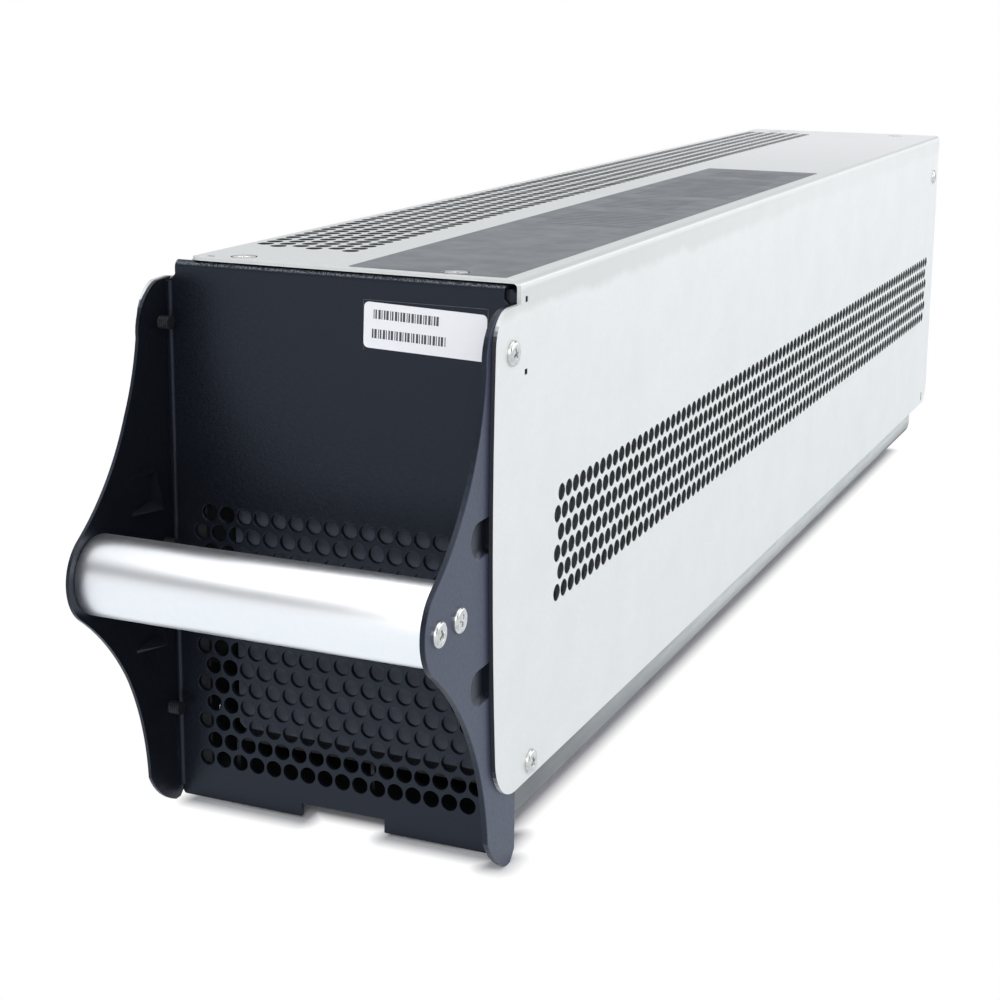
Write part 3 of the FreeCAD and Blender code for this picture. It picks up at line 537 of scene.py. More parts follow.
SATIN = plain("satin_aluminium", (0.975, 0.98, 0.985), (0.955, 0.96, 0.97), 500.0,
              1.0, 0.33, 0.37, 0.03, 0.0001)
ZINC_SCREW = plain("zinc_screw", (0.72, 0.72, 0.70), (0.55, 0.55, 0.53), 700.0, 1.0, 0.16, 0.26)
DARK_SCREW = plain("black_screw_end", (0.02, 0.021, 0.025), (0.012, 0.013, 0.016), 900.0,
                   0.2, 0.3, 0.45)
CASE = plain("battery_case", (0.072, 0.083, 0.112), (0.058, 0.068, 0.094), 160.0,
             0.0, 0.42, 0.55)
LID = plain("battery_lid", (0.022, 0.024, 0.03), (0.016, 0.018, 0.023), 200.0, 0.0, 0.45, 0.6)
# A dark colour for the shelf deep inside the body: painted shade.
SHELF_SHADED = plain("shelf_shaded", (0.028, 0.030, 0.036), (0.020, 0.022, 0.027), 300.0,
                   0.3, 0.35, 0.5)
FOAM = plain("foam", (0.008, 0.009, 0.012), (0.012, 0.013, 0.017), 900.0,
             0.0, 0.85, 0.95, 0.6, 0.0006)
COPPER = plain("copper_strap", (0.72, 0.40, 0.26), (0.58, 0.31, 0.20), 180.0, 0.95, 0.25, 0.4)
TIN = plain("tinned_tab", (0.70, 0.69, 0.66), (0.58, 0.57, 0.55), 400.0, 0.9, 0.3, 0.42)
MOULDED = plain("moulded_black", (0.020, 0.020, 0.022), (0.028, 0.028, 0.030), 500.0,
                0.0, 0.4, 0.5)
PAPER = plain("label_white", (0.97, 0.975, 1.0), (0.95, 0.955, 0.98), 60.0, 0.0, 0.38, 0.46, 0.03)
PRINT = plain("label_print", (0.055, 0.057, 0.065), (0.085, 0.088, 0.095), 900.0, 0.0, 0.5, 0.6)
GREY_FILM = plain("label_grey", (0.150, 0.160, 0.175), (0.132, 0.142, 0.157), 90.0,
                  0.0, 0.34, 0.44, 0.05)
GREY_PRINT = plain("label_grey_print", (0.085, 0.090, 0.10), (0.105, 0.11, 0.12), 600.0,
                   0.0, 0.4, 0.5)
FRAME_PRINT = plain("frame_print", (0.10, 0.105, 0.12), (0.07, 0.075, 0.09), 900.0,
                    0.0, 0.45, 0.55)
print("materials:", len(bpy.data.materials))

# %% [markdown]
# ## The vented cover
# The cover starts as a flat blank: y runs along it, u across it from the right wall's free edge,
# over the top, down to the left wall's free edge. The vents are punched in the blank, then the
# two bends are formed.

# %% Blank sizes
WALL = Z_TOP - BEND - Z_SKIRT                 # straight height of a wall
TURN = math.pi / 2 * BEND
TOP = XR - XL - 2 * BEND
U_TOP = WALL + TURN                           # where the top's flat begins
U_LEFT = U_TOP + TOP                          # where the left bend begins
U_END = U_LEFT + TURN + WALL
Y_WEB = Y0 + 2.9                              # front edge of the left wall
EAR_REACH, EAR_MID, EAR_ROUND = 17.6, 108.0, 1800.0
VENT_R, TOP_VENT_R, VENT_SIDES = 2.6, 2.62, 14
VENT_DX, VENT_DY, TOP_VENT_DY = 5.67, 5.95, 6.1


def bow(z):
    """Front edge of an ear at a height: furthest forward at EAR_MID."""
    return Y0 - EAR_REACH + (z - EAR_MID) ** 2 / EAR_ROUND


def u_top(x):
    """Place across the blank of a point on the top."""
    return U_TOP + XR - BEND - x


def box_ring(y, u, half_y, half_u):
    return [(y - half_y, u - half_u), (y + half_y, u - half_u), (y + half_y, u + half_u),
            (y - half_y, u + half_u)]


# %% Punch the blank
blank = bmesh.new()
vent_field(blank, Y0 + 29.3 - VENT_DX / 2, 72.05 - Z_SKIRT - VENT_DY / 2, 95, 6, VENT_DX, VENT_DY,
           VENT_R, VENT_SIDES)
rims = vent_field(blank, Y0 + 30.4 - VENT_DX / 2, u_top(-10.5) - TOP_VENT_DY / 2, 94, 6, VENT_DX,
                  TOP_VENT_DY, TOP_VENT_R, VENT_SIDES)
ear_a = (bow(Z_SKIRT) + 13.0, 0.0)
ear_b = (bow(Z_SKIRT + 13.0), 13.0)
ear_c = (bow(FLANGE_TOP - 9.0), FLANGE_TOP - 9.0 - Z_SKIRT)
ear_d = (bow(FLANGE_TOP) + 9.0, FLANGE_TOP - Z_SKIRT)
front_bow = [(bow(ear_b[1] + Z_SKIRT + (ear_c[1] - ear_b[1]) * k / 8),
              ear_b[1] + (ear_c[1] - ear_b[1]) * k / 8) for k in range(1, 9)]
u_notch = U_LEFT + TURN * 0.55
outline = [ear_a] + arc(ear_a, ear_b, 3.6, 10) + front_bow + arc(ear_c, ear_d, 2.5, 10)
outline += [(Y0, FLANGE_TOP - Z_SKIRT), (Y0, U_TOP - 1.0), (Y0, U_LEFT - 4.0)]
outline += arc((Y0, U_LEFT - 4.0), (Y0 + 3.0, u_notch), 1.2, 6)
outline += [(Y_WEB, u_notch + 0.5), (Y_WEB, U_END), (Y1 - 9.0, U_END)]
outline += arc((Y1 - 9.0, U_END), (Y1, U_END - 9.0), 2.64, 8)
outline += [(Y1, 9.0)] + arc((Y1, 9.0), (Y1 - 9.0, 0.0), 2.64, 8)
rings = [outline]
rings += [box_ring(Y0 + 4.0, z - Z_SKIRT, 0.9, 0.8) for z in (Z_TOP - 5.7, Z_TOP - 25.7)]
rings.append(box_ring(Y1 - 12.0, 4.0, 0.7, 2.2))
TOP_SCREW_X, TOP_SCREW_Y = (-32.0, 35.2), (Y0 + 5.6, Y1 - 13.0)
TOP_SCREWS = [(x, y) for x in TOP_SCREW_X for y in TOP_SCREW_Y]
for x, y in TOP_SCREWS:
    rings.append(circle(y, u_top(x), 3.9, 24))
rings.append([(Y0 + 2.4 + p * 0.5, u_top(XL + 7.0) + q) for p, q in circle(0, 0, 1.5, 12)])
fill(blank, rims + flat_rings(blank, rings))
face_up(blank)
for start in (WALL, U_LEFT):
    for k in range(7):
        slice_at(blank, (0, start + TURN * k / 6, 0), (0, 1, 0), 1e-4)
print("blank: %d faces" % len(blank.faces))


# %% Form the bends
def formed(u):
    """Place across the cover for a point at u of the blank: x and z."""
    if u <= WALL:
        return XR, Z_SKIRT + u
    if u < U_TOP:
        a = (u - WALL) / BEND
        return XR - BEND + BEND * math.cos(a), Z_TOP - BEND + BEND * math.sin(a)
    if u <= U_LEFT:
        return XR - BEND - (u - U_TOP), Z_TOP
    if u < U_LEFT + TURN:
        a = (u - U_LEFT) / BEND
        return XL + BEND - BEND * math.sin(a), Z_TOP - BEND + BEND * math.cos(a)
    return XL, Z_TOP - BEND - (u - U_LEFT - TURN)


for v in blank.verts:
    x, z = formed(v.co.y)
    v.co = (x, v.co.x, z)
cover = sheet_piece("cover_sheet", blank, GALVANISED, T_COVER, 0.0, ["cover"])
print("cover:", len(cover.data.polygons), "faces before thickness")

# %% Left ear and its step
KNEE = 14.0                                   # the left flange leans in quickly up to here ...
LEAN_NEAR, LEAN_FAR = 0.107, 0.033            # ... by the first of these per mm, then the second
LEAN_FOOT, LEAN_FULL, LEAN_HEAD = 6.0, 48.0, 125.0
EAR_SKIN = -EAR_OUT + 0.01                    # what lies beyond this belongs to the ear's face


def lean(y, z):
    """How far the left flange is drawn in towards the tube: not at its foot, more at its head."""
    t = Y0 - y
    drawn = LEAN_NEAR * t if t < KNEE else LEAN_NEAR * KNEE + LEAN_FAR * (t - KNEE)
    return max(0.0, drawn) * (min(1.0, max(0.0, (z - LEAN_FOOT) / (LEAN_FULL - LEAN_FOOT)))
                              + 0.8 * max(0.0, (z - LEAN_HEAD) / 35.0))


step = bmesh.new()
profile = [(XL + T_COVER, Y_WEB), (-EAR_OUT + 1.4, Y_WEB), (-EAR_OUT + 0.4, Y_WEB - 0.4),
           (-EAR_OUT, Y_WEB - 1.4), (-EAR_OUT, Y0 - 20.0)]
lower = [step.verts.new((x, y, Z_SKIRT)) for x, y in profile]
line = [step.edges.new(pair) for pair in zip(lower, lower[1:])]
up = bmesh.ops.extrude_edge_only(step, edges=line)
bmesh.ops.translate(step, vec=(0, 0, FLANGE_TOP - Z_SKIRT), verts=made_verts(up))
cuts = [(bow(z), z) for z in (40.0, 60.0, 85.0, 108.0, 130.0)]
corner = [(y, u + Z_SKIRT) for y, u in [ear_a] + arc(ear_a, ear_b, 3.6, 6)]
crown = [(y, u + Z_SKIRT) for y, u in [ear_c] + arc(ear_c, ear_d, 2.5, 6)]
rim = corner + cuts + crown
for (ya, za), (yb, zb) in zip(rim, rim[1:]):
    slice_at(step, (0, ya, za), (0.0, -(zb - za), yb - ya))
outside = []
for face in step.faces:
    c = face.calc_center_median()
    if c.x < EAR_SKIN:
        for (ya, za), (yb, zb) in zip(rim, rim[1:]):
            if (c.y - ya) * (zb - za) - (c.z - za) * (yb - ya) < -1e-4:
                outside.append(face)
                break
bmesh.ops.delete(step, geom=outside, context="FACES")
for v in step.verts:
    if v.co.x < EAR_SKIN:
        v.co.x += lean(v.co.y, v.co.z)
for face in step.faces:
    face.normal_update()
    c = face.calc_center_median()
    ear = c.y < Y_WEB - 1.5
    if (ear and face.normal.x > 0) or (not ear and face.normal.y < 0):
        face.normal_flip()
sheet_piece("cover_left_ear", step, GALVANISED, T_COVER, 0.0, ["cover"])

# %% [markdown]
# ## The black front
# One perforated plate with a rolled top edge, and two flanges whose outline is nose, sweep, lobe
# round the handle, sweep and foot. Two ramps are pressed into each flange.

# %% Perforated plate
plate = bmesh.new()
HOLE_DX, HOLE_DY, HOLE_R, HOLE_SIDES = 5.8, 5.95, 2.5, 28
SPAN = 15.5 * HOLE_DX
rims = vent_field(plate, -SPAN / 2 - HOLE_DX / 2, 91.8 - 13 * HOLE_DY - HOLE_DY / 2, 16, 14,
                  HOLE_DX, HOLE_DY, HOLE_R, HOLE_SIDES)
LIP_R, LIP_LEN = 2.2, 10.0
V_BEND = Z_LIP - LIP_R
V_TURN = math.pi / 2 * LIP_R
x_top, x_lip = FOLD - 2.0, XL + BEND
z_low, z_notch = 1.0, 5.1
NOTCH_MID = 1.4
n0, n1 = NOTCH_MID - 13.8, NOTCH_MID + 13.8
outline = [(-FOLD + 0.8, z_low), (n0, z_low), (n0, z_notch), (n1, z_notch), (n1, z_low),
           (FOLD - 3.5, z_low), (FOLD - 0.6, z_low + 2.0), (FOLD - 0.6, z_low + 12.0),
           (FOLD, z_low + 12.6), (FOLD, FLANGE_TOP - 1.0), (x_top, FLANGE_TOP + 1.0),
           (x_top, V_BEND + V_TURN), (x_top, V_BEND + V_TURN + LIP_LEN),
           (x_lip, V_BEND + V_TURN + LIP_LEN), (x_lip, V_BEND + V_TURN),
           (-x_top, V_BEND + V_TURN), (-x_top, FLANGE_TOP + 1.0), (-FOLD, FLANGE_TOP - 1.0),
           (-FOLD, z_low + 1.2)]
fill(plate, rims + flat_rings(plate, [outline]))
face_up(plate)
for k in range(9):
    slice_at(plate, (0, V_BEND + V_TURN * k / 8, 0), (0, 1, 0), 1e-4)
for v in plate.verts:
    x, d = v.co.x, v.co.y - V_BEND
    if d <= 0:
        v.co = (x, Y0, v.co.y)
    elif d < V_TURN:
        a = d / LIP_R
        v.co = (x, Y0 + LIP_R - LIP_R * math.cos(a), V_BEND + LIP_R * math.sin(a))
    else:
        v.co = (x, Y0 + LIP_R + d - V_TURN, Z_LIP)
sheet_piece("front_plate_sheet", plate, POWDER, T_PLATE, 0.22, ["front_plate"])

# %% Notch tongue and fold lines
TONGUE, FOLD_R, INTO = 2.6, 1.1, 0.4          # the strips reach 0.4 into the sheets they join
tongue = bmesh.new()
soft_box(tongue, (n1 - n0, TONGUE, T_PLATE),
         (NOTCH_MID, Y0 + TONGUE / 2 + 1.2, z_notch + T_PLATE / 2), 0.25)
for side in (-1, 1):
    strip = [(FOLD - FOLD_R + FOLD_R * math.sin(a), Y0 - FOLD_R + FOLD_R * math.cos(a))
             for a in [math.pi / 2 * k / 6 for k in range(7)]]
    strip += [(FOLD + INTO, Y0 - FOLD_R), (FOLD + INTO, Y0 + INTO), (FOLD - FOLD_R, Y0 + INTO)]
    low = [tongue.verts.new((side * x, y, z_low + 3.0)) for x, y in strip]
    made = bmesh.ops.extrude_face_region(tongue, geom=[tongue.faces.new(low)])
    bmesh.ops.translate(tongue, vec=(0, 0, FLANGE_TOP - z_low - 4.0), verts=made_verts(made))
piece("front_folds", tongue, POWDER, ["front_plate"])
# A black strip behind the left hole columns: painted shade in the open space there.
shade_strip = bmesh.new()
soft_box(shade_strip, (5.2, 1.0, 156.0), (-46.95, Y0 + T_PLATE + 0.55, 80.0), 0.2)
piece("side_shade_strip", shade_strip, FOAM)


# %% Flange blank
def on_eye(deg):
    a = math.radians(deg)
    return HANDLE_Y - EYE_R * math.cos(a), HANDLE_Z + EYE_R * math.sin(a)


def flange_outline():
    """Nose, sweep, lobe round the handle, sweep and foot, as places along y and z."""
    back = Y0 + 2.6
    nose_a, nose_b = (Y0 - 7.2, FLANGE_TOP), (Y0 - 19.2, FLANGE_TOP - 15.0)
    foot_a, foot_b = (Y0 - 16.2, 12.0), (Y0 - 3.0, 0.0)
    pts = [(back, 3.0), (back, FLANGE_TOP), nose_a]
    pts += arc(nose_a, nose_b, -4.31, 12)
    pts += arc(nose_b, on_eye(EYE_TOP), 6.44, 18)
    pts += [on_eye(EYE_TOP - EYE_TURN * k / 22) for k in range(1, 23)]
    pts += arc(on_eye(EYE_TOP - EYE_TURN), foot_a, 7.44, 20)
    pts += arc(foot_a, foot_b, -1.58, 8)
    return pts + [(back - 3.0, 0.0)]


EYE_R, EYE_TOP, EYE_TURN = 14.0, 58.0, 110.0  # lobe: radius, first angle and sweep in degrees
LANCES = (101.6, 60.3)                        # heights of the two ramps
LANCE_FRONT, LANCE_REAR, LANCE_H = Y0 - 29.0, Y0 - 15.8, 5.2
COLLAR = 1.0                                  # flat ring of faces round each ramp


def lance_ring(zc, grow=0.0):
    """Outline of a pressed ramp: round at its front end, square at its rear."""
    h, r = LANCE_H + grow, 5.0 + grow
    y_front, y_rear = LANCE_FRONT - grow, LANCE_REAR + grow
    pts = [(y_rear, zc - h), (y_rear, zc + h), (y_front + r, zc + h)]
    pts += [(y_front + r - r * math.sin(a), zc + h * math.cos(a))
            for a in [math.pi * k / 10 for k in range(1, 10)]]
    return pts + [(y_front + r, zc - h)]


# %% Form the flanges
for side, label in ((1, "right"), (-1, "left")):
    wing = bmesh.new()
    fill(wing, flat_rings(wing, [flange_outline()] + [lance_ring(z, COLLAR) for z in LANCES]))
    reach = COLLAR + 0.1
    drop = [f for f in wing.faces
            if any(all(LANCE_FRONT - reach < v.co.x < LANCE_REAR + reach
                       and abs(v.co.y - z) < LANCE_H + reach for v in f.verts) for z in LANCES)]
    bmesh.ops.delete(wing, geom=drop, context="FACES_ONLY")
    for z in LANCES:
        rim = [min(wing.verts, key=lambda v: (v.co.x - p[0]) ** 2 + (v.co.y - p[1]) ** 2)
               for p in lance_ring(z, COLLAR)]
        ring = [wing.verts.new((p[0], p[1], 0.0)) for p in lance_ring(z)]
        ring_edges = []
        for k in range(len(ring)):
            j = (k + 1) % len(ring)
            wing.faces.new((rim[k], rim[j], ring[j], ring[k]))
            ring_edges.append(wing.edges.get((ring[k], ring[j])))
        walls = bmesh.ops.extrude_edge_only(wing, edges=ring_edges)
        for v in made_verts(walls):
            t = (v.co.x - LANCE_FRONT) / (LANCE_REAR - LANCE_FRONT)
            v.co.z -= (0.3 + 1.3 * t) * (1.0 if side > 0 else 0.4)
            v.co.y = z + (v.co.y - z) * 0.74 + 0.5
            v.co.x += 1.6 * (1 - t)
        bmesh.ops.contextual_create(wing, geom=made_edges(walls))
    if side < 0:
        for y in (Y0, Y0 - KNEE):
            slice_at(wing, (y, 0, 0), (1, 0, 0))
        for z in (LEAN_FOOT, LEAN_FULL, LEAN_HEAD):
            slice_at(wing, (0, z, 0), (0, 1, 0))
    for face in wing.faces:
        face.normal_update()
        if face.normal.z < -0.5:
            face.normal_flip()
    bmesh.ops.recalc_face_normals(wing, faces=wing.faces)
    top = max(wing.faces, key=lambda f: f.calc_area())
    if top.normal.z < 0:
        bmesh.ops.reverse_faces(wing, faces=wing.faces)
    for v in wing.verts:
        y, z, depth = v.co.x, v.co.y, v.co.z
        v.co = (side * (FLANGE_OUT + depth - (lean(y, z) if side < 0 else 0.0)), y, z)
    if side < 0:
        bmesh.ops.reverse_faces(wing, faces=wing.faces)
    sheet_piece("flange_" + label, wing, POWDER, T_PLATE if side > 0 else 1.0, 0.3,
                ["front_plate"])
print("front sheet formed")

# %% [markdown]
# ## Handle
# A satin tube is turned from its profile; its ends sit against the flanges, the left one shorter
# because its flange leans in.

# %% Spin the tube
tube = bmesh.new()
R_TUBE = 11.5
half, left = FOLD - 0.05, -FOLD + 1.9
prof = [(left, R_TUBE - 1.9), (left, R_TUBE - 0.6), (left + 0.2, R_TUBE - 0.2),
        (left + 0.7, R_TUBE), (half - 0.5, R_TUBE), (half - 0.15, R_TUBE - 0.15),
        (half, R_TUBE - 0.5), (half, R_TUBE - 1.9)]
verts = [tube.verts.new((x, HANDLE_Y, HANDLE_Z + r)) for x, r in prof]
edges = [tube.edges.new((verts[i - 1], verts[i])) for i in range(len(verts))]
bmesh.ops.spin(tube, geom=verts + edges, cent=(0, HANDLE_Y, HANDLE_Z), axis=(1, 0, 0),
               angle=2 * math.pi, steps=96, use_merge=True)
sharpen(piece("handle_grip", tube, SATIN, ["handle_tube", "handle_plugs"],
              smooth=True), 50)

# %% [markdown]
# ## Screws
# A pan head is turned from a domed profile, its cross recess is pressed in, and the shank has
# rolled thread rings. Each set of equal screws is one object.


# %% Screw maker
def screw_mesh(head_r, head_h, length, flush=False):
    """Screw along +Z with its seat at z = 0, its shank downward and a cross in its head."""
    bm = bmesh.new()
    flat, shank, root, pitch = 2.15, 2.0, 1.72, 0.7
    if flush:
        prof = [(flat, 0.0), (head_r, 0.0), (head_r, -0.15), (shank, -1.6)]
    else:
        prof = [(flat, head_h), (head_r * 0.78, head_h * 0.97), (head_r * 0.92, head_h * 0.82),
                (head_r * 0.985, head_h * 0.55), (head_r, head_h * 0.25), (head_r, 0.0),
                (shank, 0.0)]
    z = prof[-1][1]
    while z > -length + pitch:
        prof += [(shank, z - 0.2), (root, z - 0.45)]
        z -= pitch
        prof.append((shank, z))
    prof += [(1.5, -length), (0.0, -length)]
    verts = [bm.verts.new((r, 0, z)) for r, z in prof]
    edges = [bm.edges.new(pair) for pair in zip(verts, verts[1:])]
    bmesh.ops.spin(bm, geom=verts + edges, cent=(0, 0, 0), axis=(0, 0, 1), angle=2 * math.pi,
                   steps=32, use_merge=True)
    bmesh.ops.remove_doubles(bm, verts=bm.verts, dist=1e-5)
    z_top = prof[0][1]
    rim = [e for e in bm.edges if e.is_boundary and abs(e.verts[0].co.z - z_top) < 1e-5
           and abs(e.verts[1].co.z - z_top) < 1e-5]
    w, arm = 0.42, 1.75
    cross = [(w, w), (w, arm), (-w, arm), (-w, w), (-arm, w), (-arm, -w), (-w, -w), (-w, -arm),
             (w, -arm), (w, -w), (arm, -w), (arm, w)]
    inner = loop(bm, [(x, y, z_top) for x, y in cross])
    corners = [v for e in inner for v in e.verts]
    fill(bm, rim + inner)
    inside = [f for f in bm.faces if all(v in corners for v in f.verts)]
    bmesh.ops.delete(bm, geom=inside, context="FACES")
    inner = [e for e in bm.edges if e.is_boundary and all(v in corners for v in e.verts)]
    pit = bmesh.ops.extrude_edge_only(bm, edges=inner)
    for v in made_verts(pit):
        v.co.x *= 0.62
        v.co.y *= 0.62
        v.co.z -= 1.1
    bmesh.ops.contextual_create(bm, geom=made_edges(pit))
    bmesh.ops.recalc_face_normals(bm, faces=bm.faces)
    mesh = bpy.data.meshes.new("screw")
    bm.to_mesh(mesh)
    bm.free()
    return mesh


def screw_set(name, mesh, places, replaces, material=ZINC_SCREW):
    """Copies of one screw: each place is a seat and the direction its head faces."""
    bm = bmesh.new()
    for k, (seat, out) in enumerate(places):
        before = len(bm.verts)
        bm.from_mesh(mesh)
        bm.verts.ensure_lookup_table()
        new = bm.verts[before:]
        rot = Vector(out).to_track_quat("Z", "Y").to_matrix()
        rot = rot @ Matrix.Rotation(0.4 + 0.9 * k, 3, "Z")
        bmesh.ops.transform(bm, matrix=Matrix.Translation(seat) @ rot.to_4x4(), verts=new)
    sharpen(piece(name, bm, material, replaces, smooth=True), 40)


# %% Place the screws
PAN_R, PAN_H = 3.6, 1.25
pan = screw_mesh(PAN_R, PAN_H, 7.9)
short = screw_mesh(PAN_R, PAN_H, 2.9)
stub = screw_mesh(PAN_R, PAN_H, 6.4)
flush = screw_mesh(3.4, 0.0, 3.3, flush=True)
Y_EAR, Z_EAR = Y0 - 5.6, FLANGE_TOP - 12.4
places = []
for s in (1, -1):
    for y in (HANDLE_Y - 6.25, HANDLE_Y + 6.25):
        x = s * FLANGE_OUT + (lean(y, HANDLE_Z) if s < 0 else 0.0)
        places.append(((x, y, HANDLE_Z), (s, 0, 0)))
screw_set("handle_screws_pan", pan, places, ["handle_screws"])
screw_set("ear_screws_pan", pan, [((EAR_OUT, Y_EAR, Z_EAR), (1, 0, 0))], ["flange_screws"])
screw_set("ear_screws_black", stub,
          [((0.6 - EAR_OUT, Y_EAR, z), (-1, 0, 0)) for z in (Z_EAR, 82.3, 31.1)], ["flange_screws"],
          DARK_SCREW)
for label, node_name, y, z in (("tray", "tray_screws", Y0 + 10.3, 27.0),
                               ("rear", "rear_side_screws", Y1 - 13.0, Z_TOP - 21.0)):
    screw_set(label + "_screws_pan", short, [((XR, y, z), (1, 0, 0)), ((XL, y, z), (-1, 0, 0))],
              [node_name])
screw_set("top_screws_flush", flush, [((x, y, Z_TOP - 0.05), (0, 0, 1)) for x, y in TOP_SCREWS],
          ["top_screws"])
bb = [[v / MM for v in c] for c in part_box("connector_screws")]
seat_y = bb[1][1] - 2.3
screw_set("connector_screws_pan", pan, [((x, seat_y, 84.0), (0, 1, 0))
                                        for x in (bb[0][0] + 3.9, bb[1][0] - 3.9)],
          ["connector_screws"])
print("screws placed")

# %% [markdown]
# ## Labels
# A white label and a grey film, both bare of words: only plain bars and fields.


# %% Label maker
def rounded(x0, x1, y0, y1, r, n=6):
    pts = []
    for cx, cy, a0 in ((x1 - r, y1 - r, 0), (x0 + r, y1 - r, 90), (x0 + r, y0 + r, 180),
                       (x1 - r, y0 + r, 270)):
        pts += [(cx + r * math.cos(math.radians(a0 + 90 * k / n)),
                 cy + r * math.sin(math.radians(a0 + 90 * k / n))) for k in range(n + 1)]
    return pts


def slab(bm, ring, thick, to_world):
    """A thin closed slab on the outline, its back on the plane and its face thick in front."""
    face = bm.faces.new([bm.verts.new(to_world(x, y, 0.0)) for x, y in ring])
    made = bmesh.ops.extrude_face_region(bm, geom=[face])
    shift = Vector(to_world(0, 0, thick)) - Vector(to_world(0, 0, 0))
    bmesh.ops.translate(bm, vec=shift, verts=made_verts(made))


def strip_ring(x0, x1, y0, y1):
    return [(x0, y0), (x1, y0), (x1, y1), (x0, y1)]


def on_front(x, z, d):
    return x, Y0 - d, z


def on_film(x, y, d):
    return x, y, Z_TOP + FILM + d


FILM = 0.12                                   # thickness of the grey film

# %% White label
LX0, LX1, LZ0, LZ1 = 9.6, 47.0, 145.3, 158.3


def tilt(bm):
    """The label was stuck on a little askew."""
    middle = Vector(((LX0 + LX1) / 2, Y0, (LZ0 + LZ1) / 2))
    bmesh.ops.rotate(bm, cent=middle, matrix=Matrix.Rotation(math.radians(1.9), 3, "Y"),
                     verts=bm.verts)


bm = bmesh.new()
slab(bm, rounded(LX0, LX1, LZ0, LZ1, 1.5), 0.18, on_front)
tilt(bm)
piece("front_label", bm, PAPER)
bm = bmesh.new()
for z, count, x in ((153.7, 24, LX0 + 3.0), (148.2, 27, LX0 + 2.6)):
    for k in range(count):
        w = 0.28 + 0.22 * ((k * 7 + int(z)) % 3)
        slab(bm, strip_ring(x, x + w, z, z + 2.6), 0.2, on_front)
        x += w + 0.26 + 0.18 * ((k * 5) % 2)
tilt(bm)
piece("front_label_bars", bm, PRINT)
bm = bmesh.new()
fx0, fx1, fz0, fz1, w = LX0 - 0.2, LX1 + 0.4, LZ0 - 0.2, LZ1 + 1.1, 0.14
for ring in (strip_ring(fx0, fx1, fz1 - w, fz1), strip_ring(fx1 - w, fx1, fz0, fz1),
             strip_ring(fx0, fx0 + w, fz0, fz1)):
    slab(bm, ring, 0.03, on_front)
piece("front_frame_line", bm, FRAME_PRINT)

# %% Grey film on the top
TX0, TX1, TY0, TY1 = 3.9, 51.9, Y0 + 1.6, Y0 + 338.0
bm = bmesh.new()
fill(bm, flat_rings(bm, [rounded(TX0, TX1, TY0, TY1, 0.6, 3),
                         circle(TOP_SCREW_X[1], TOP_SCREW_Y[0], 4.1, 24)]))
for v in bm.verts:
    v.co = on_film(v.co.x, v.co.y, 0.0)
face_up(bm)
sheet_piece("top_film", bm, GREY_FILM, FILM, 0.0)
bm = bmesh.new()
for y0, length, x0, x1 in ((120.0, 40.0, 12.0, 46.0), (176.0, 30.0, 12.0, 40.0),
                           (222.0, 70.0, 10.0, 46.0), (304.0, 20.0, 14.0, 42.0)):
    y = y0
    while y < y0 + length:
        slab(bm, strip_ring(x0, x1, Y0 + y, Y0 + y + 1.1), 0.02, on_film)
        y += 4.2
piece("top_film_lines", bm, GREY_PRINT)
print("labels placed")

# %% [markdown]
# ## Finishes on the CAD parts that stay
# Their shape is right as packed; each gets its finish.

# %% Assign finishes
FINISH = {"tray": TRAY_STEEL, "rear_panel": INNER_STEEL_SHADED, "shelf": SHELF_SHADED,
          "connector_carrier": INNER_STEEL_SHADED, "foam_base": FOAM, "foam_top": FOAM,
          "battery_cases": CASE, "battery_lids": LID, "battery_tabs": TIN,
          "pair_links": COPPER, "row_links": COPPER, "end_straps": COPPER,
          "connector_contacts": COPPER, "connector_housing": MOULDED}
for name, material in FINISH.items():
    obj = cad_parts[name]
    if not obj.material_slots:
        obj.data.materials.append(material)
    for slot in obj.material_slots:
        slot.material = material
print("finished:", ", ".join(sorted(FINISH)))

# %% [markdown]
# ## Stage
# A white floor that keeps the soft shadow, a white surround for the camera, five soft lamps.

# %% Floor
bm = bmesh.new()
bmesh.ops.create_grid(bm, x_segments=1, y_segments=1, size=4.0)
mesh = bpy.data.meshes.new("floor")
bm.to_mesh(mesh)
bm.free()
floor = link_object("floor", mesh)
floor_white, tree, shader, coords = new_material("floor_white")
mesh.materials.append(floor_white)
shader.inputs["Roughness"].default_value = 0.9
shader.inputs["Specular IOR Level"].default_value = 0.1
shader.inputs["Base Color"].default_value = (0.93, 0.93, 0.95, 1)


def clear_of(centre, half, spread):
    """0 on a rectangle of the floor, rising to 1 over the spread beyond it; all in millimetres."""
    last = coords
    for operation, value in (("SUBTRACT", [c * MM for c in centre] + [0.0]), ("ABSOLUTE", None),
                             ("SUBTRACT", [h * MM for h in half] + [0.0]), ("MAXIMUM", [0, 0, 0]),
                             ("MULTIPLY", [1 / (w * MM) for w in spread] + [0.0])):
        last = vector_maths(tree, operation, last, value).outputs[0]
    distance = vector_maths(tree, "LENGTH", last).outputs["Value"]
    return ramp(tree, distance, 0.1, 1.0)


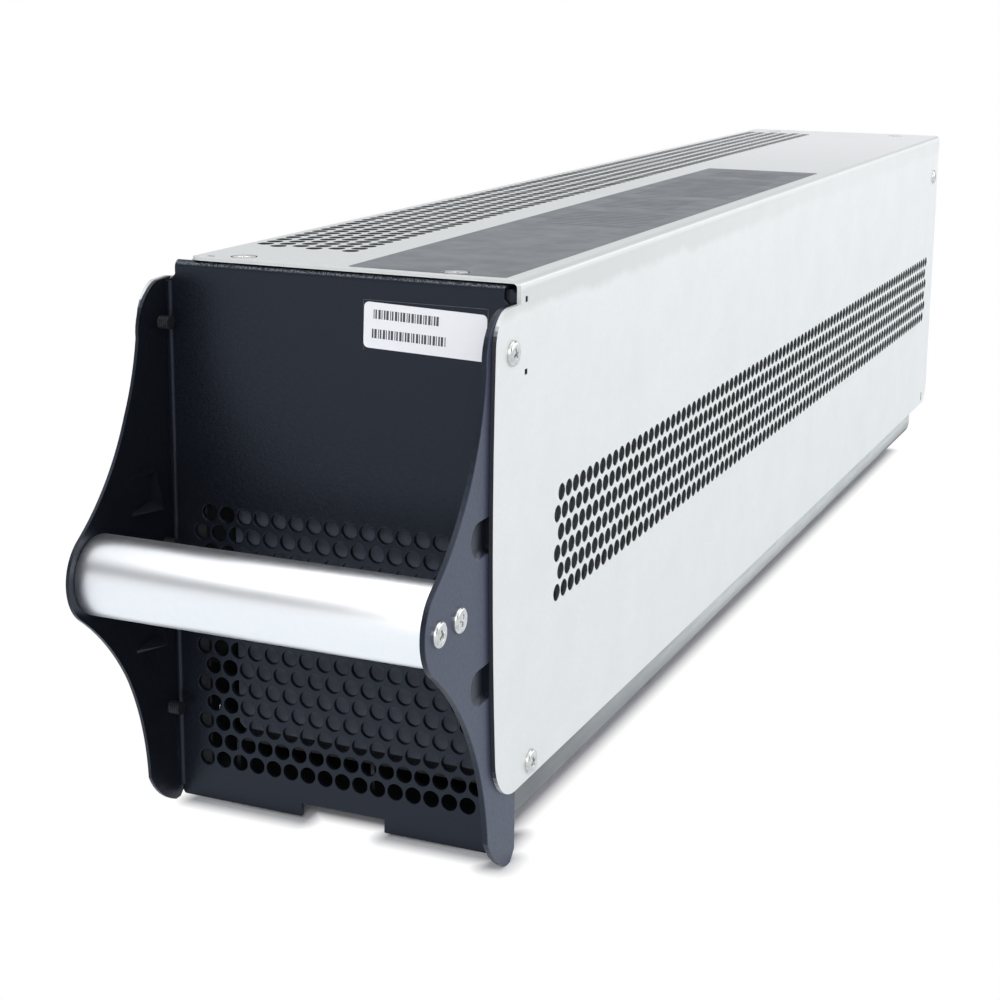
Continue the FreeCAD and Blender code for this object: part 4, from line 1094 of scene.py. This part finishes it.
fade = clear_of((0.0, 13.0), (45.0, 269.0), (6.5, 7.0))
for centre, half in (((-30.5, -256.0), (18.5, 8.5)), ((33.5, -256.0), (16.5, 8.5)),
                     ((53.0, -266.0), (1.5, 3.0))):
    fade = maths(tree, "MINIMUM", fade, clear_of(centre, half, (6.0, 7.0)))
path = tree.nodes.new("ShaderNodeLightPath")
white = node(tree, "ShaderNodeEmission")
tree.links.new(mix_colour(tree, path.outputs["Is Camera Ray"], (0.90, 0.95, 1.0), (1.0, 1.0, 1.0)),
               white.inputs["Color"])
blend = tree.nodes.new("ShaderNodeMixShader")
seen_by = maths(tree, "MAXIMUM", path.outputs["Is Camera Ray"], path.outputs["Is Glossy Ray"])
tree.links.new(product(tree, fade, seen_by), blend.inputs[0])
tree.links.new(shader.outputs[0], blend.inputs[1])
tree.links.new(white.outputs[0], blend.inputs[2])
tree.links.new(blend.outputs[0], tree.nodes["Material Output"].inputs["Surface"])

# %% Surround
world = bpy.data.worlds.new("surround")
bpy.context.scene.world = world
world.use_nodes = True
wt = world.node_tree
back = wt.nodes["Background"]
back.inputs["Color"].default_value = (0.93, 0.95, 1.0, 1)
back.inputs["Strength"].default_value = 0.55
seen = node(wt, "ShaderNodeBackground")
seen.inputs["Color"].default_value = (1, 1, 1, 1)
path = wt.nodes.new("ShaderNodeLightPath")
pick = wt.nodes.new("ShaderNodeMixShader")
wt.links.new(path.outputs["Is Camera Ray"], pick.inputs[0])
sky = split_xyz(wt, wt.nodes.new("ShaderNodeTexCoord").outputs["Generated"])
low = ramp(wt, sky["Z"], 0.16, 0.30, 1.0, 0.30)
high = ramp(wt, sky["Z"], 0.50, 0.62, 0.0, 0.85)
shiny = node(wt, "ShaderNodeBackground")
shiny.inputs["Color"].default_value = (0.95, 0.97, 1.0, 1)
wt.links.new(maths(wt, "ADD", low, high), shiny.inputs["Strength"])
mirror = wt.nodes.new("ShaderNodeMixShader")
wt.links.new(path.outputs["Is Glossy Ray"], mirror.inputs[0])
wt.links.new(back.outputs[0], mirror.inputs[1])
wt.links.new(shiny.outputs[0], mirror.inputs[2])
wt.links.new(mirror.outputs[0], pick.inputs[1])
wt.links.new(seen.outputs[0], pick.inputs[2])
wt.links.new(pick.outputs[0], wt.nodes["World Output"].inputs["Surface"])


# %% Lamps
def lamp(name, place, aim, size, watts):
    data = bpy.data.lights.new(name, "AREA")
    data.shape = "RECTANGLE"
    data.size, data.size_y = size
    data.energy = watts
    turn = (Vector(aim) - Vector(place)).to_track_quat("-Z", "Y").to_matrix().to_4x4()
    link_object(name, data).matrix_world = Matrix.Translation(place) @ turn


lamp("top_box", (0.05, 0.35, 1.7), (0.0, 0.15, 0.0), (1.6, 1.6), 5.4)
lamp("right_box", (1.6, 0.75, 0.75), (0.0, 0.15, 0.08), (1.3, 1.0), 8.4)
lamp("low_right", (1.1, 1.3, 0.25), (0.05, 0.0, 0.08), (1.0, 0.4), 1.4)
lamp("front_strip", (-0.62, -0.95, 1.45), (0.0, -0.27, 0.12), (0.45, 0.6), 2.0)
lamp("front_fill", (0.5, -1.6, 0.75), (0.0, -0.25, 0.08), (0.8, 0.8), 7.6)

# %% [markdown]
# ## Camera
# A long lens from the front right, a little above the top.

# %% Place the camera
cam_data = bpy.data.cameras.new("camera")
cam = link_object("camera", cam_data)
bpy.context.scene.camera = cam
cam_data.sensor_width = 36.0
cam_data.lens = 68.76
cam_data.shift_y = -0.1
yaw, pitch, roll = math.radians(23.33), math.radians(12.17), math.radians(0.53)
forward = Vector((-math.sin(yaw) * math.cos(pitch), math.cos(yaw) * math.cos(pitch),
                  -math.sin(pitch)))
right = forward.cross(Vector((0, 0, 1))).normalized()
upward = right.cross(forward)
rolled_right = math.cos(roll) * right + math.sin(roll) * upward
rolled_up = -math.sin(roll) * right + math.cos(roll) * upward
place = Vector((252.25, -466.5 + Y0, 244.2)) * MM
columns = [rolled_right, rolled_up, -forward, place]
cam.matrix_world = Matrix([[c[k] for c in columns] for k in range(3)] + [[0, 0, 0, 1]])
cam_data.clip_start = 0.01

# %% View transform
bpy.context.scene.view_settings.view_transform = "Standard"
